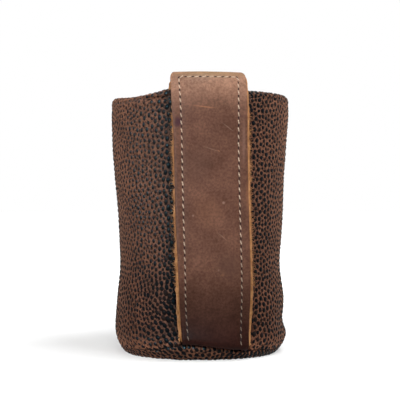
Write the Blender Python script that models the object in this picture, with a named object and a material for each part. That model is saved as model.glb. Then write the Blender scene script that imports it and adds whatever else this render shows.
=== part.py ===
"""A leather can cooler sleeve with a loop strap.

A pebbled leather wall is closed into a tube by an upright seam and folded in over the mouth, so that
its end makes a facing inside. A leather base panel is sewn to its lower edge with a turned seam. A
foam tube lines the wall and a foam disc lies on the base. A doubled leather strap starts in the
base seam at the front, stands off the wall, bends over above the mouth and ends in a slot in
the fold. Angles are measured from the front, -Y, and grow towards +X.
"""

import math

import bmesh
import bpy
from mathutils import Vector

MM = 0.001

# Sheet thicknesses, and the gap left between pieces that touch
LEATHER = 1.3 * MM
FOAM = 2.7 * MM
PAD = 4.0 * MM
CLEARANCE = 0.25 * MM

# The drinks can that the sleeve is made for
CAN_RADIUS = 33.1 * MM
CAN_SPARE = 0.15 * MM

# Outside of the wall: round at the waist, and wider from there to the shoulder and to the foot
RIM_HEIGHT = 119.5 * MM
SHOULDER_DROP = 7.5 * MM
TOP_WIDENING = 3.9 * MM
TOP_DEEPENING = 2.5 * MM
WAIST_HEIGHT = 45.0 * MM
WAIST_RADIUS = CAN_RADIUS + CAN_SPARE + FOAM + CLEARANCE + LEATHER
FOOT_HEIGHT = 13.0 * MM
FOOT_WIDENING = 2.4 * MM
FOOT_DEEPENING = 1.7 * MM

# Soft forms of the worn leather: angle, height, swell, half angle and half height of each
SOFT_FORMS = (
    (math.radians(98), 16.5 * MM, -1.3 * MM, math.radians(30), 4.6 * MM),
    (math.radians(94), 28.0 * MM, 0.5 * MM, math.radians(34), 6.0 * MM),
    (math.radians(-84), RIM_HEIGHT - 28.0 * MM, 0.6 * MM, math.radians(40), 24.0 * MM),
    (math.radians(92), RIM_HEIGHT - 9.0 * MM, 0.5 * MM, math.radians(40), 9.0 * MM),
    (math.radians(90), WAIST_HEIGHT + 18.0 * MM, 0.5 * MM, math.radians(40), 14.0 * MM),
    (math.radians(98), 9.0 * MM, 0.9 * MM, math.radians(28), 4.0 * MM),
    (math.radians(-35), 24.0 * MM, 0.4 * MM, math.radians(22), 9.0 * MM),
)

# Rounded foot, and the turned seam between the wall and the base
CORNER_HEIGHT = 8.5 * MM
CORNER_INSET = 4.8 * MM
CORNER_POWER = 1.8
SEAM_HEIGHT = 5.6 * MM
SEAM_WANDER = 1.6 * MM
SEAM_WANDER_CENTRE = math.radians(8)
SEAM_WANDER_REACH = math.radians(24)
SPREAD_EASE = math.radians(3)
ROLL = 1.5 * MM
BASE_ROLL = 1.2 * MM

# Folded mouth and its stitched groove
FACING_DEPTH = 22.0 * MM
FOLD_HEIGHT = 2.2 * MM
GROOVE_DROP = 3.1 * MM
GROOVE_DEPTH = 0.45 * MM
GROOVE_HALF_HEIGHT = 0.8 * MM

# The mouth isn't level: angle, lift and half angle of its dip and of its rise beside the strap
RIM_FORMS = (
    (math.radians(-60), -2.1 * MM, math.radians(26)),
    (math.radians(-21), 1.3 * MM, math.radians(13)),
)

# Upright seam of the wall, behind the strap
UPRIGHT_SEAM_DEPTH = 0.7 * MM
UPRIGHT_SEAM_HALF_WIDTH = 1.1 * MM

# Strap: two layers sewn together, of which the backing is cut wider
STRAP_LAYER = 1.25 * MM
STRAP_LAYER_GAP = 0.2 * MM
STRAP_HALF_WIDTH = 16.8 * MM
STRAP_TOP_FLARE = 0.5 * MM
STRAP_FOOT_TAPER = 0.9 * MM
STRAP_LEAN = 3.7 * MM
STRAP_TOP_OFFSET = -0.7 * MM
FACE_MARGIN = 0.9 * MM
HAND_GAP = 8.3 * MM
CROWN_RISE = 7.7 * MM
CROWN_OVERHANG = 0.6 * MM
CROWN_LENGTH = 21.5 * MM
LOWER_CURVE = 42.0 * MM
TUCK_DEPTH = 11.5 * MM
SLOT_FLARE = 1.2 * MM
FREE_WRAP = 0.15

# Sewing thread
THREAD_RADIUS = 0.35 * MM
LEFT_ROW_INSET = 3.9 * MM
RIGHT_ROW_INSET = 5.1 * MM
CROSS_ROW_DROP = 1.9 * MM

# How finely the round shapes are divided
STATIONS = 40
WALL_LEVELS = 8
FOOT_LEVELS = 4
FOLD_STEPS = 4
ROLL_STEPS = 3
STRAP_COLUMNS = 8
BEND_STEPS = 4
CLOSE_STEPS = 4

STRAP = 2 * STRAP_LAYER + STRAP_LAYER_GAP
MOUTH_THICKNESS = 2 * LEATHER + max(FOAM, STRAP) + 2 * CLEARANCE
FOLD_START = RIM_HEIGHT - FOLD_HEIGHT
FACING_END = RIM_HEIGHT - FACING_DEPTH
STRAP_TOP = RIM_HEIGHT + CROWN_RISE - STRAP / 2
STRAP_REACH = WAIST_RADIUS + HAND_GAP + STRAP / 2
CROWN_REACH = WAIST_RADIUS + TOP_DEEPENING + CROWN_OVERHANG
LOW_BEND = WAIST_HEIGHT * 2 / 3


def smooth(t):
    """A step from 0 to 1 with soft ends."""
    t = min(max(t, 0.0), 1.0)
    return t * t * (3 - 2 * t)


def bell(distance, reach):
    return math.exp(-((distance / reach) ** 2))


def turn_between(a, b):
    """The signed angle from b to a, the short way round."""
    return (a - b + math.pi) % (2 * math.pi) - math.pi


def oval_radius(theta, half_width, half_depth):
    return 1 / math.hypot(math.sin(theta) / half_width, math.cos(theta) / half_depth)


def side_half_sizes(z):
    """Half the width and half the depth of the wall at a height."""
    if z >= WAIST_HEIGHT:
        t = (z - WAIST_HEIGHT) / (RIM_HEIGHT - SHOULDER_DROP - WAIST_HEIGHT)
        t = min(t, 1.0)
        share = (t + smooth(t)) / 2
        return WAIST_RADIUS + TOP_WIDENING * share, WAIST_RADIUS + TOP_DEEPENING * share
    share = smooth((WAIST_HEIGHT - z) / (WAIST_HEIGHT - FOOT_HEIGHT))
    return WAIST_RADIUS + FOOT_WIDENING * share, WAIST_RADIUS + FOOT_DEEPENING * share


def wall_radius(theta, z):
    """Distance from the axis to the outside of the leather, seams and grooves left out."""
    level = max(z, CORNER_HEIGHT)
    radius = oval_radius(theta, *side_half_sizes(level))
    for angle, height, swell, reach, rise in SOFT_FORMS:
        radius += swell * bell(turn_between(theta, angle), reach) * bell(level - height, rise)
    if z < CORNER_HEIGHT:
        drop = min((CORNER_HEIGHT - z) / CORNER_HEIGHT, 1.0)
        radius -= CORNER_INSET * drop**CORNER_POWER
    return radius


def liner_outer_radius(theta, z):
    """The foam follows the wall above the waist and stays a straight tube below it."""
    return wall_radius(theta, max(z, WAIST_HEIGHT)) - LEATHER - CLEARANCE


def seam_height(theta):
    """The base seam rises to the left of the strap and drops to the right of it."""
    u = turn_between(theta, SEAM_WANDER_CENTRE) / SEAM_WANDER_REACH
    return SEAM_HEIGHT - SEAM_WANDER * u * math.exp((1 - u * u) / 2)


def strap_edges(z):
    """Left and right edge of the backing, across the strap, at a height."""
    share = z / STRAP_TOP
    middle = STRAP_TOP_OFFSET + STRAP_LEAN * (1 - share) ** 2
    half = STRAP_HALF_WIDTH
    half += STRAP_TOP_FLARE * smooth((share - 0.75) / 0.25)
    half -= STRAP_FOOT_TAPER * smooth((0.25 - share) / 0.25)
    return middle - half, middle + half


def foot_angles():
    """The angles between which the strap's end lies in the base seam."""
    radius = seam_end_radius(0)
    left, right = strap_edges(SEAM_HEIGHT)
    return (left - 2 * CLEARANCE) / radius, (right + 2 * CLEARANCE) / radius


def seam_spread(theta):
    """How much further the wall's edge stands off the base's, to let the strap's end in."""
    left, right = foot_angles()
    turn = turn_between(theta, 0)
    inside = min(right - turn, turn - left)
    return (STRAP + CLEARANCE) * smooth(1 + inside / SPREAD_EASE)


def wall_edge_height(theta):
    return seam_height(theta) + CLEARANCE / 2 + seam_spread(theta)


def seam_end_radius(theta):
    """Where the turned edges of the wall and the base stop, short of the foam."""
    return liner_outer_radius(theta, WAIST_HEIGHT) + CLEARANCE


def groove(z):
    away = abs(z - (RIM_HEIGHT - GROOVE_DROP))
    return GROOVE_DEPTH * smooth(1 - away / GROOVE_HALF_HEIGHT)


def upright_seam(theta):
    away = abs(turn_between(theta, 0)) * WAIST_RADIUS
    return UPRIGHT_SEAM_DEPTH * smooth(1 - away / UPRIGHT_SEAM_HALF_WIDTH)


def between(low, high, steps):
    """Even steps from low up to, but not with, high."""
    return [low + (high - low) * i / steps for i in range(steps)]


def quarter(steps):
    """Angles from 0 to a quarter turn."""
    return [math.pi / 2 * i / steps for i in range(steps + 1)]


def wall_levels(theta):
    """Heights at which the wall has points, from the roll of its lower edge to the fold."""
    groove_top = RIM_HEIGHT - GROOVE_DROP + GROOVE_HALF_HEIGHT
    groove_foot = RIM_HEIGHT - GROOVE_DROP - GROOVE_HALF_HEIGHT
    low = between(wall_edge_height(theta) + ROLL, LOW_BEND, FOOT_LEVELS)[1:]
    high = between(LOW_BEND, groove_foot, WALL_LEVELS)
    return low + high + [groove_foot, (groove_top + groove_foot) / 2, groove_top]


def inside_heights():
    """Heights that the inside of the wall, the facing and the foam share."""
    tube = between(WAIST_HEIGHT, FACING_END, 4)
    return [LOW_BEND] + tube + between(FACING_END, FOLD_START, 3) + [FOLD_START]


def shell_section(theta):
    """The wall's closed outline at one angle, as (radius, height) points."""
    edge = wall_edge_height(theta)
    rolled = wall_radius(theta, edge + ROLL)
    end = seam_end_radius(theta)
    top = wall_radius(theta, FOLD_START)
    seam = upright_seam(theta)
    levels = wall_levels(theta)
    inside = inside_heights()[::-1]
    facing = [z for z in inside if z >= FACING_END]
    middle = top - MOUTH_THICKNESS / 2

    points = [(end, edge)]
    for a in quarter(ROLL_STEPS):
        points.append((rolled - ROLL + ROLL * math.sin(a), edge + ROLL - ROLL * math.cos(a)))
    for z in levels:
        points.append((wall_radius(theta, z) - groove(z) - seam, z))
    for i in range(FOLD_STEPS + 1):
        a = math.pi * i / FOLD_STEPS
        points.append(
            (middle + MOUTH_THICKNESS / 2 * math.cos(a), FOLD_START + FOLD_HEIGHT * math.sin(a))
        )
    points += [(wall_radius(theta, z) - MOUTH_THICKNESS, z) for z in facing[1:]]
    points += [
        (wall_radius(theta, z) - MOUTH_THICKNESS + LEATHER, z) for z in reversed(facing)
    ]
    hidden = MOUTH_THICKNESS / 2 - LEATHER
    for a in (2 * math.pi / 3, math.pi / 3):
        points.append(
            (
                middle + hidden * math.cos(a),
                FOLD_START + (FOLD_HEIGHT - LEATHER) * math.sin(a),
            )
        )
    points.append((top - LEATHER, FOLD_START))
    points += [(wall_radius(theta, z) - LEATHER, z) for z in inside[1:]]
    points += [(rolled - LEATHER, edge + LEATHER), (end, edge + LEATHER)]
    return points


def base_section(theta):
    """The base panel's outline from the axis out and back, as (radius, height) points."""
    edge = seam_height(theta) - CLEARANCE / 2
    rolled = wall_radius(theta, edge - BASE_ROLL)
    flat = wall_radius(theta, 0)
    end = seam_end_radius(theta)
    points = [(flat / 2, 0.0), (flat, 0.0)]
    for i in (1, 2):
        z = (edge - BASE_ROLL) * (i / 3) ** 2
        points.append((wall_radius(theta, z), z))
    for a in quarter(ROLL_STEPS):
        points.append(
            (rolled - BASE_ROLL + BASE_ROLL * math.cos(a), edge - BASE_ROLL + BASE_ROLL * math.sin(a))
        )
    points += [(end, edge), (end, edge - LEATHER)]
    points.append((rolled - LEATHER, edge - LEATHER))
    points += [(base_inside_radius(theta, z), z) for z in ((edge) / 2, LEATHER)]
    points.append((flat / 2, LEATHER))
    return points


def base_inside_radius(theta, z):
    """Inside of the dished base at a height, one leather inside the rounded foot."""
    drop = min((CORNER_HEIGHT - z) / (CORNER_HEIGHT - LEATHER), 1.0)
    return wall_radius(theta, 0) + (CORNER_INSET - LEATHER) * (1 - drop**CORNER_POWER)


def liner_section(theta):
    """The foam tube's outline: it stands on the pad and ends just below the fold."""
    foot = LEATHER + PAD + 2 * CLEARANCE
    levels = [foot] + inside_heights()[1:-1] + [FOLD_START - CLEARANCE / 2]
    outer = [(liner_outer_radius(theta, z), z) for z in levels]
    inner = [(liner_outer_radius(theta, z) - FOAM, z) for z in reversed(levels)]
    return outer + inner


def lower_curve_point(t, start, end):
    """A soft S from the strap's foot out to its full reach."""
    lift = (end[1] - start[1]) * 0.45
    handles = [start, (start[0], start[1] + lift * 0.8), (end[0], end[1] - lift), end]
    weights = [(1 - t) ** 3, 3 * t * (1 - t) ** 2, 3 * t * t * (1 - t), t**3]
    return tuple(sum(w * p[i] for w, p in zip(weights, handles)) for i in (0, 1))


def strap_path():
    """Mid-line of the strap in side view, from the base seam over the crown into the mouth.

    Each entry is (reach, height, wrap, seam share): wrap is 1 where the strap is bent round with
    the wall and 0 where it is flat, and the seam share is how far it follows the base seam.
    """
    edge = wall_edge_height(0)
    rolled = wall_radius(0, edge + ROLL)
    bend = ROLL + CLEARANCE + STRAP / 2
    centre = (rolled - ROLL, edge + ROLL)
    path = [(seam_end_radius(0) + CLEARANCE, centre[1] - bend, 1.0, 1.0)]
    for a in quarter(BEND_STEPS):
        path.append((centre[0] + bend * math.sin(a), centre[1] - bend * math.cos(a), 1.0, 1.0))

    start = (centre[0] + bend, centre[1])
    end = (STRAP_REACH, start[1] + LOWER_CURVE)
    steps = 7
    for i in range(1, steps + 1):
        t = i / steps
        reach, z = lower_curve_point(t, start, end)
        ease = smooth(t * 1.4)
        path.append((reach, z, 1 + (FREE_WRAP - 1) * ease, 1 - ease))

    crown_start = STRAP_TOP - CROWN_LENGTH
    for i in (1, 2, 3):
        path.append((STRAP_REACH, end[1] + (crown_start - end[1]) * i / 3, FREE_WRAP, 0.0))
    steps = 7
    for i in range(1, steps + 1):
        a = math.pi / 2 * i / steps
        reach = CROWN_REACH + (STRAP_REACH - CROWN_REACH) * math.cos(a)
        z = crown_start + CROWN_LENGTH * math.sin(a)
        path.append((reach, z, FREE_WRAP + (1 - FREE_WRAP) * smooth(i / steps * 1.3), 0.0))

    pocket = pocket_reach()
    entry = FOLD_START
    steps = 4
    for i in range(1, steps + 1):
        a = math.pi / 2 * i / steps
        reach = CROWN_REACH - (CROWN_REACH - pocket) * math.sin(a)
        path.append((reach, entry + (STRAP_TOP - entry) * math.cos(a), 1.0, 0.0))
    path.append((pocket - pocket_lean() / 2, entry - TUCK_DEPTH / 2, 1.0, 0.0))
    path.append((pocket - pocket_lean(), entry - TUCK_DEPTH, 1.0, 0.0))
    return path


def pocket_lean():
    """How much nearer the axis the wall is at the end of the tuck than at the fold."""
    return wall_radius(0, FOLD_START) - wall_radius(0, FOLD_START - TUCK_DEPTH)


def strap_surface(x, entry):
    """The point of the strap's mid-surface that lies x across it, at one entry of its path."""
    reach, z, wrap, seam_share = entry
    theta = x / reach
    oval = wall_radius(theta, z) - wall_radius(0, z)
    around = reach + oval
    wrapped = Vector((around * math.sin(theta), -around * math.cos(theta), z))
    flat = Vector((x, -reach, z))
    point = flat.lerp(wrapped, wrap)
    point.z += seam_share * (wall_edge_height(theta) - wall_edge_height(0))
    return point


def entry_at(path, place):
    """The path's entry at a place that may lie between two of its points."""
    place = min(max(place, 0), len(path) - 1)
    low = min(int(place), len(path) - 2)
    share = place - low
    return tuple(a + (b - a) * share for a, b in zip(path[low], path[low + 1]))


def strap_point(x, path, place, lift):
    """A point of the strap raised by lift along its outward normal."""
    step = 0.5 * MM
    here = entry_at(path, place)
    along = strap_surface(x, entry_at(path, place + 1)) - strap_surface(x, entry_at(path, place - 1))
    across = strap_surface(x + step, here) - strap_surface(x - step, here)
    return strap_surface(x, here) + across.cross(along).normalized() * lift


def new_material(name, colour, roughness):
    material = bpy.data.materials.new(name)
    material.use_nodes = True
    shader = material.node_tree.nodes["Principled BSDF"]
    shader.inputs["Base Color"].default_value = (*colour, 1.0)
    shader.inputs["Roughness"].default_value = roughness
    shader.inputs["Metallic"].default_value = 0.0
    return material


def new_object(name, mesh, material):
    obj = bpy.data.objects.new(name, mesh)
    obj.data.materials.append(material)
    bpy.context.scene.collection.objects.link(obj)
    return obj


def mesh_of(name, vertices, faces):
    """A mesh with its faces turned outwards, shaded smooth apart from its sharp edges."""
    mesh = bpy.data.meshes.new(name)
    mesh.from_pydata(vertices, [], faces)
    shape = bmesh.new()
    shape.from_mesh(mesh)
    bmesh.ops.recalc_face_normals(shape, faces=shape.faces)
    shape.to_mesh(mesh)
    shape.free()
    mesh.shade_smooth()
    mesh.set_sharp_from_angle(angle=math.radians(40))
    return mesh


def rim_lift(theta, z):
    """How far the leather and the foam near the mouth stand above or below their level place."""
    lift = sum(rise * bell(turn_between(theta, angle), reach) for angle, rise, reach in RIM_FORMS)
    return lift * smooth((z - WAIST_HEIGHT) / (FACING_END - WAIST_HEIGHT))


def around(theta, radius, z):
    return (radius * math.sin(theta), -radius * math.cos(theta), z + rim_lift(theta, z))


def even_stations():
    return [2 * math.pi * i / STATIONS for i in range(STATIONS)]


def shell_stations():
    """The even stations, with more at the upright seam and at both sides of the strap's end."""
    half = UPRIGHT_SEAM_HALF_WIDTH / WAIST_RADIUS
    left, right = foot_angles()
    more = [half / 2, half, right, right + SPREAD_EASE]
    more += [2 * math.pi + t for t in (-half, -half / 2, left, left - SPREAD_EASE)]
    return sorted(even_stations() + more)


def ring_mesh(name, section, stations):
    """A closed outline carried once round the axis."""
    outlines = [section(theta) for theta in stations]
    count = len(outlines[0])
    vertices = [
        around(theta, radius, z)
        for theta, outline in zip(stations, outlines)
        for radius, z in outline
    ]
    faces = []
    for i in range(len(stations)):
        j = (i + 1) % len(stations)
        for k in range(count):
            m = (k + 1) % count
            faces.append((i * count + k, j * count + k, j * count + m, i * count + m))
    return mesh_of(name, vertices, faces)


def disc_mesh(name, section, stations, bottom, top):
    """An outline that starts and ends near the axis, closed there by two fans."""
    outlines = [section(theta) for theta in stations]
    count = len(outlines[0])
    vertices = [
        around(theta, radius, z)
        for theta, outline in zip(stations, outlines)
        for radius, z in outline
    ]
    vertices += [(0.0, 0.0, bottom), (0.0, 0.0, top)]
    low, high = len(vertices) - 2, len(vertices) - 1
    faces = []
    for i in range(len(stations)):
        j = (i + 1) % len(stations)
        for k in range(count - 1):
            faces.append((i * count + k, j * count + k, j * count + k + 1, i * count + k + 1))
        faces.append((j * count, i * count, low))
        faces.append((i * count + count - 1, j * count + count - 1, high))
    return mesh_of(name, vertices, faces)


def strap_layer_mesh(name, inner_lift, outer_lift, margin):
    """One layer of the strap, narrower than the backing by margin at each edge."""
    path = strap_path()
    columns = STRAP_COLUMNS + 1
    vertices = []
    for lift in (inner_lift, outer_lift):
        for i, entry in enumerate(path):
            left, right = strap_edges(min(entry[1], STRAP_TOP))
            left, right = left + margin, right - margin
            for c in range(columns):
                x = left + (right - left) * c / STRAP_COLUMNS
                vertices.append(strap_point(x, path, i, lift))
    size = len(path) * columns
    faces = []
    for i in range(len(path) - 1):
        for c in range(STRAP_COLUMNS):
            a = i * columns + c
            face = (a, a + 1, a + columns + 1, a + columns)
            faces.append(face)
            faces.append(tuple(v + size for v in reversed(face)))
        for c in (0, STRAP_COLUMNS):
            a = i * columns + c
            faces.append((a, a + columns, a + columns + size, a + size))
    for i in (0, len(path) - 1):
        for c in range(STRAP_COLUMNS):
            a = i * columns + c
            faces.append((a, a + 1, a + 1 + size, a + size))
    return mesh_of(name, vertices, faces)


def thread(name, points, material, closed=False):
    """A round thread through the points."""
    curve = bpy.data.curves.new(name, "CURVE")
    curve.dimensions = "3D"
    curve.bevel_depth = THREAD_RADIUS
    curve.bevel_resolution = 1
    curve.use_fill_caps = not closed
    spline = curve.splines.new("POLY")
    spline.points.add(len(points) - 1)
    for target, point in zip(spline.points, points):
        target.co = (*point, 1.0)
    spline.use_cyclic_u = closed
    return new_object(name, curve, material)


def place_of_crown(path):
    return max(range(len(path)), key=lambda i: path[i][1])


def strap_rows(lift, first):
    """A U of thread: up the left row, across below the crown, and down the right row."""
    path = strap_path()
    height = STRAP_TOP - CROSS_ROW_DROP
    below = max(i for i in range(place_of_crown(path)) if path[i][1] <= height)
    last = below + (height - path[below][1]) / (path[below + 1][1] - path[below][1])

    def row(side):
        points = []
        for place in [*range(first, below + 1), last]:
            left, right = strap_edges(entry_at(path, place)[1])
            x = left + LEFT_ROW_INSET if side < 0 else right - RIGHT_ROW_INSET
            points.append((x, place))
        return points

    left_row, right_row = row(-1), row(1)
    x_left, x_right = left_row[-1][0], right_row[-1][0]
    cross = [(x_left + (x_right - x_left) * c / 6, last) for c in range(1, 6)]
    chain = left_row + cross + right_row[::-1]
    return [strap_point(x, path, place, lift) for x, place in chain]


def block(name, low, high):
    """A plain box between two corners, kept out of the model: it only cuts."""
    corners = [
        (x, y, z) for z in (low[2], high[2]) for y in (low[1], high[1]) for x in (low[0], high[0])
    ]
    faces = [(0, 2, 3, 1), (4, 5, 7, 6), (0, 1, 5, 4), (2, 6, 7, 3), (0, 4, 6, 2), (1, 3, 7, 5)]
    mesh = mesh_of(name, corners, faces)
    obj = bpy.data.objects.new(name, mesh)
    bpy.context.scene.collection.objects.link(obj)
    return as_cutter(obj)


def as_cutter(obj):
    obj.hide_render = True
    obj.display_type = "WIRE"
    return obj


def cut(obj, cutter):
    modifier = obj.modifiers.new(cutter.name, "BOOLEAN")
    modifier.operation = "DIFFERENCE"
    modifier.solver = "EXACT"
    modifier.object = cutter


def pocket_reach():
    """Mid-line of the strap's end between the wall and its facing, at the fold."""
    return wall_radius(0, FOLD_START) - LEATHER - CLEARANCE - STRAP / 2


def slot_cutter():
    """The slot in the fold: the strap's end with a spare, opened outwards towards the top."""
    spare = CLEARANCE * 0.6
    low, high = FOLD_START - 2 * MM, RIM_HEIGHT + 2 * MM
    pocket = pocket_reach()
    half = STRAP / 2 + spare
    left, right = strap_edges(STRAP_TOP)
    left, right = left - CLEARANCE, right + CLEARANCE
    columns = STRAP_COLUMNS + 1
    vertices = []
    for low_reach, high_reach in (
        (pocket - half, pocket - half),
        (pocket + half, pocket + half + SLOT_FLARE),
    ):
        for reach, z in ((low_reach, low), (high_reach, high)):
            for c in range(columns):
                x = left + (right - left) * c / STRAP_COLUMNS
                vertices.append(strap_surface(x * reach / pocket, (reach, z, 1.0, 0.0)))
    size = 2 * columns
    faces = []
    for c in range(STRAP_COLUMNS):
        face = (c, c + 1, c + columns + 1, c + columns)
        faces.append(face)
        faces.append(tuple(v + size for v in reversed(face)))
        faces.append((c, c + 1, c + 1 + size, c + size))
        a = c + columns
        faces.append((a, a + 1, a + 1 + size, a + size))
    for c in (0, STRAP_COLUMNS):
        faces.append((c, c + columns, c + columns + size, c + size))
    mesh = mesh_of("strap_slot", vertices, faces)
    obj = bpy.data.objects.new("strap_slot", mesh)
    bpy.context.scene.collection.objects.link(obj)
    return as_cutter(obj)


def liner_notch():
    """The foam is cut away where the strap's end lies between the wall and its facing."""
    left, right = strap_edges(STRAP_TOP)
    low = FOLD_START - TUCK_DEPTH - 2 * CLEARANCE
    return block(
        "liner_notch",
        (left - 2 * CLEARANCE, -CROWN_REACH, low),
        (right + 2 * CLEARANCE, -WAIST_RADIUS / 2, RIM_HEIGHT),
    )


def pad_section(theta):
    """The pad lies in the dished base, and its top is as wide as the foam tube that stands on it."""
    low_radius = wall_radius(theta, 0) - CLEARANCE
    top_radius = liner_outer_radius(theta, 0)
    low = LEATHER + CLEARANCE
    top = low + PAD
    return [(low_radius / 2, low), (low_radius, low), (top_radius, top), (low_radius / 2, top)]


def main():
    for obj in list(bpy.data.objects):
        bpy.data.objects.remove(obj)

    pebbled = new_material("pebbled_leather", (0.105, 0.056, 0.04), 0.55)
    smooth_leather = new_material("smooth_leather", (0.16, 0.078, 0.055), 0.5)
    raw_leather = new_material("raw_leather", (0.42, 0.23, 0.1), 0.9)
    foam = new_material("foam", (0.02, 0.02, 0.022), 0.9)
    linen = new_material("thread", (0.55, 0.45, 0.38), 0.7)
    brown_thread = new_material("brown_thread", (0.07, 0.04, 0.03), 0.7)

    shell = new_object("outer_shell", ring_mesh("outer_shell", shell_section, shell_stations()), pebbled)
    cut(shell, slot_cutter())

    base = disc_mesh("base_panel", base_section, even_stations(), 0.0, LEATHER)
    new_object("base_panel", base, pebbled)

    liner = new_object("foam_liner", ring_mesh("foam_liner", liner_section, even_stations()), foam)
    cut(liner, liner_notch())

    pad_low = LEATHER + CLEARANCE
    pad = disc_mesh("foam_base_pad", pad_section, even_stations(), pad_low, pad_low + PAD)
    new_object("foam_base_pad", pad, foam)

    half_gap = STRAP_LAYER_GAP / 2
    face = strap_layer_mesh("strap_face", half_gap, half_gap + STRAP_LAYER, FACE_MARGIN)
    new_object("strap_face", face, smooth_leather)
    backing = strap_layer_mesh("strap_backing", -half_gap - STRAP_LAYER, -half_gap, 0.0)
    new_object("strap_backing", backing, raw_leather)

    over = STRAP / 2 + CLEARANCE / 2 + THREAD_RADIUS
    thread("strap_thread", strap_rows(over, BEND_STEPS), linen)
    thread("strap_bobbin_thread", strap_rows(-over, BEND_STEPS + CLOSE_STEPS), linen)

    z = RIM_HEIGHT - GROOVE_DROP
    rest = THREAD_RADIUS + CLEARANCE / 2 - GROOVE_DEPTH
    outer_ring = [around(t, wall_radius(t, z) + rest, z) for t in shell_stations()]
    thread("rim_thread", outer_ring, brown_thread, closed=True)
    inset = MOUTH_THICKNESS + CLEARANCE / 2 + THREAD_RADIUS
    inner_ring = [around(t, wall_radius(t, z) - inset, z) for t in shell_stations()]
    thread("rim_bobbin_thread", inner_ring, brown_thread, closed=True)


main()
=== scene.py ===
# %% [markdown]
# # A leather can cooler sleeve
# The sleeve is a pebbled leather tube with a sewn base, foam inside and a doubled leather strap
# up its front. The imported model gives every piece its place. This lesson dresses it: each plain
# solid is replaced by a finer mesh with leather, foam or thread on it.

import bisect
import math
import random

import bmesh
import bpy
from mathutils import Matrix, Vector, kdtree, noise


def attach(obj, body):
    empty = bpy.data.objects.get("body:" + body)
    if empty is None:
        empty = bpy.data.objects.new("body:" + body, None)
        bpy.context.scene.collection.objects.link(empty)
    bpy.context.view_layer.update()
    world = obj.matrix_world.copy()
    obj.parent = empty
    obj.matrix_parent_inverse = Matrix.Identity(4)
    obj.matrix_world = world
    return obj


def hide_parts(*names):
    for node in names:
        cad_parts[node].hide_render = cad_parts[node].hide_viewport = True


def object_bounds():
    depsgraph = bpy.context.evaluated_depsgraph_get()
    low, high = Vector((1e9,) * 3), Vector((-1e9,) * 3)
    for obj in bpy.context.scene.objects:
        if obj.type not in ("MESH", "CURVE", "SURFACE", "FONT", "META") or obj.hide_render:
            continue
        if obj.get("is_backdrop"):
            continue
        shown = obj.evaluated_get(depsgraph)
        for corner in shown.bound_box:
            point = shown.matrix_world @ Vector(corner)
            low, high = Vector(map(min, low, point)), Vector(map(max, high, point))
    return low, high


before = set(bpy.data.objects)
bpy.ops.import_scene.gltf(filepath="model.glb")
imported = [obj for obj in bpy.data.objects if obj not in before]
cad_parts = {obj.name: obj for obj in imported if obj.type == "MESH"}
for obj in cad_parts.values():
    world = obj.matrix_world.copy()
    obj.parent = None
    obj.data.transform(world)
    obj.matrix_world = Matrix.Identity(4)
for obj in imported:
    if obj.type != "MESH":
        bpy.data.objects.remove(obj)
cad_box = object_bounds()
MM = 0.001
DEG = math.radians(1)
print("pieces in the packed model:", ", ".join(sorted(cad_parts)))

# %% [markdown]
# ## Camera
# The curve of the mouth and of the base tell where the photographer stood: a little more than
# half a metre away, level with the middle of the sleeve and a few degrees to its left.
# A long lens from there gives the same gentle perspective.

# %% Camera
CAMERA_DISTANCE = 552 * MM
CAMERA_HEIGHT = 71 * MM
CAMERA_TURN = -6.6 * DEG
LENS = 105.3

lens = bpy.data.cameras.new("camera")
lens.lens = LENS
lens.sensor_width = 36.0
camera = bpy.data.objects.new("camera", lens)
bpy.context.scene.collection.objects.link(camera)
camera.location = (
    CAMERA_DISTANCE * math.sin(CAMERA_TURN),
    -CAMERA_DISTANCE * math.cos(CAMERA_TURN),
    CAMERA_HEIGHT,
)
camera.rotation_euler = (math.pi / 2, 0, CAMERA_TURN)
bpy.context.scene.camera = camera
print("camera at", [round(v, 3) for v in camera.location])

# %% [markdown]
# ## Making node trees
# Materials, the world and Geometry Nodes are all trees of nodes. One helper adds a node, sets its
# properties, and fills its inputs with either a number or a link from another node. Math and Map
# Range nodes come up so often that they have short helpers of their own.


# %% Node helpers
def fill(tree, node, inputs):
    """Gives each named input a number, or a link from another node's output."""
    for key, value in inputs.items():
        if isinstance(value, bpy.types.NodeSocket):
            tree.links.new(value, node.inputs[key])
        else:
            node.inputs[key].default_value = value


def add(tree, kind, inputs=None, **settings):
    node = tree.nodes.new(kind)
    for name, value in settings.items():
        setattr(node, name, value)
    fill(tree, node, inputs or {})
    return node


def maths(tree, operation, *values):
    return add(tree, "ShaderNodeMath", dict(enumerate(values)), operation=operation).outputs[0]


def map_range(tree, value, low, high, to_low=0.0, to_high=1.0, **settings):
    """Carries a value from the range low to high over to the range to_low to to_high."""
    inputs = {"Value": value, 1: low, 2: high, 3: to_low, 4: to_high}
    return add(tree, "ShaderNodeMapRange", inputs, **settings).outputs[0]


# %% [markdown]
# ## Light
# Soft studio light comes from lamps above and in front, a weaker one at each side, and an even
# grey room. The camera, and what is mirrored in a gloss, see the room and the floor as white:
# Light Path tells the shader which ray has arrived, so the extra white lights nothing.

# %% Room
scene = bpy.context.scene
scene.view_settings.view_transform = "Standard"
ROOM_LIGHT = 0.26
WHITE = (1.0, 1.0, 1.0, 1.0)


def shown(tree):
    """1 for the rays that show a thing, straight or mirrored, and 0 for those that light it."""
    path = add(tree, "ShaderNodeLightPath").outputs
    seen = maths(tree, "MAXIMUM", path["Is Camera Ray"], path["Is Transmission Ray"])
    return maths(tree, "MAXIMUM", seen, path["Is Glossy Ray"])


world = bpy.data.worlds.new("room")
world.use_nodes = True
scene.world = world
room = world.node_tree
room.nodes.clear()
grey = add(room, "ShaderNodeBackground", {"Color": WHITE, "Strength": ROOM_LIGHT})
white = add(room, "ShaderNodeBackground", {"Color": WHITE, "Strength": 1.0})
either = add(room, "ShaderNodeMixShader", {0: shown(room), 1: grey.outputs[0],
                                           2: white.outputs[0]})
add(room, "ShaderNodeOutputWorld", {"Surface": either.outputs[0]})


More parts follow.
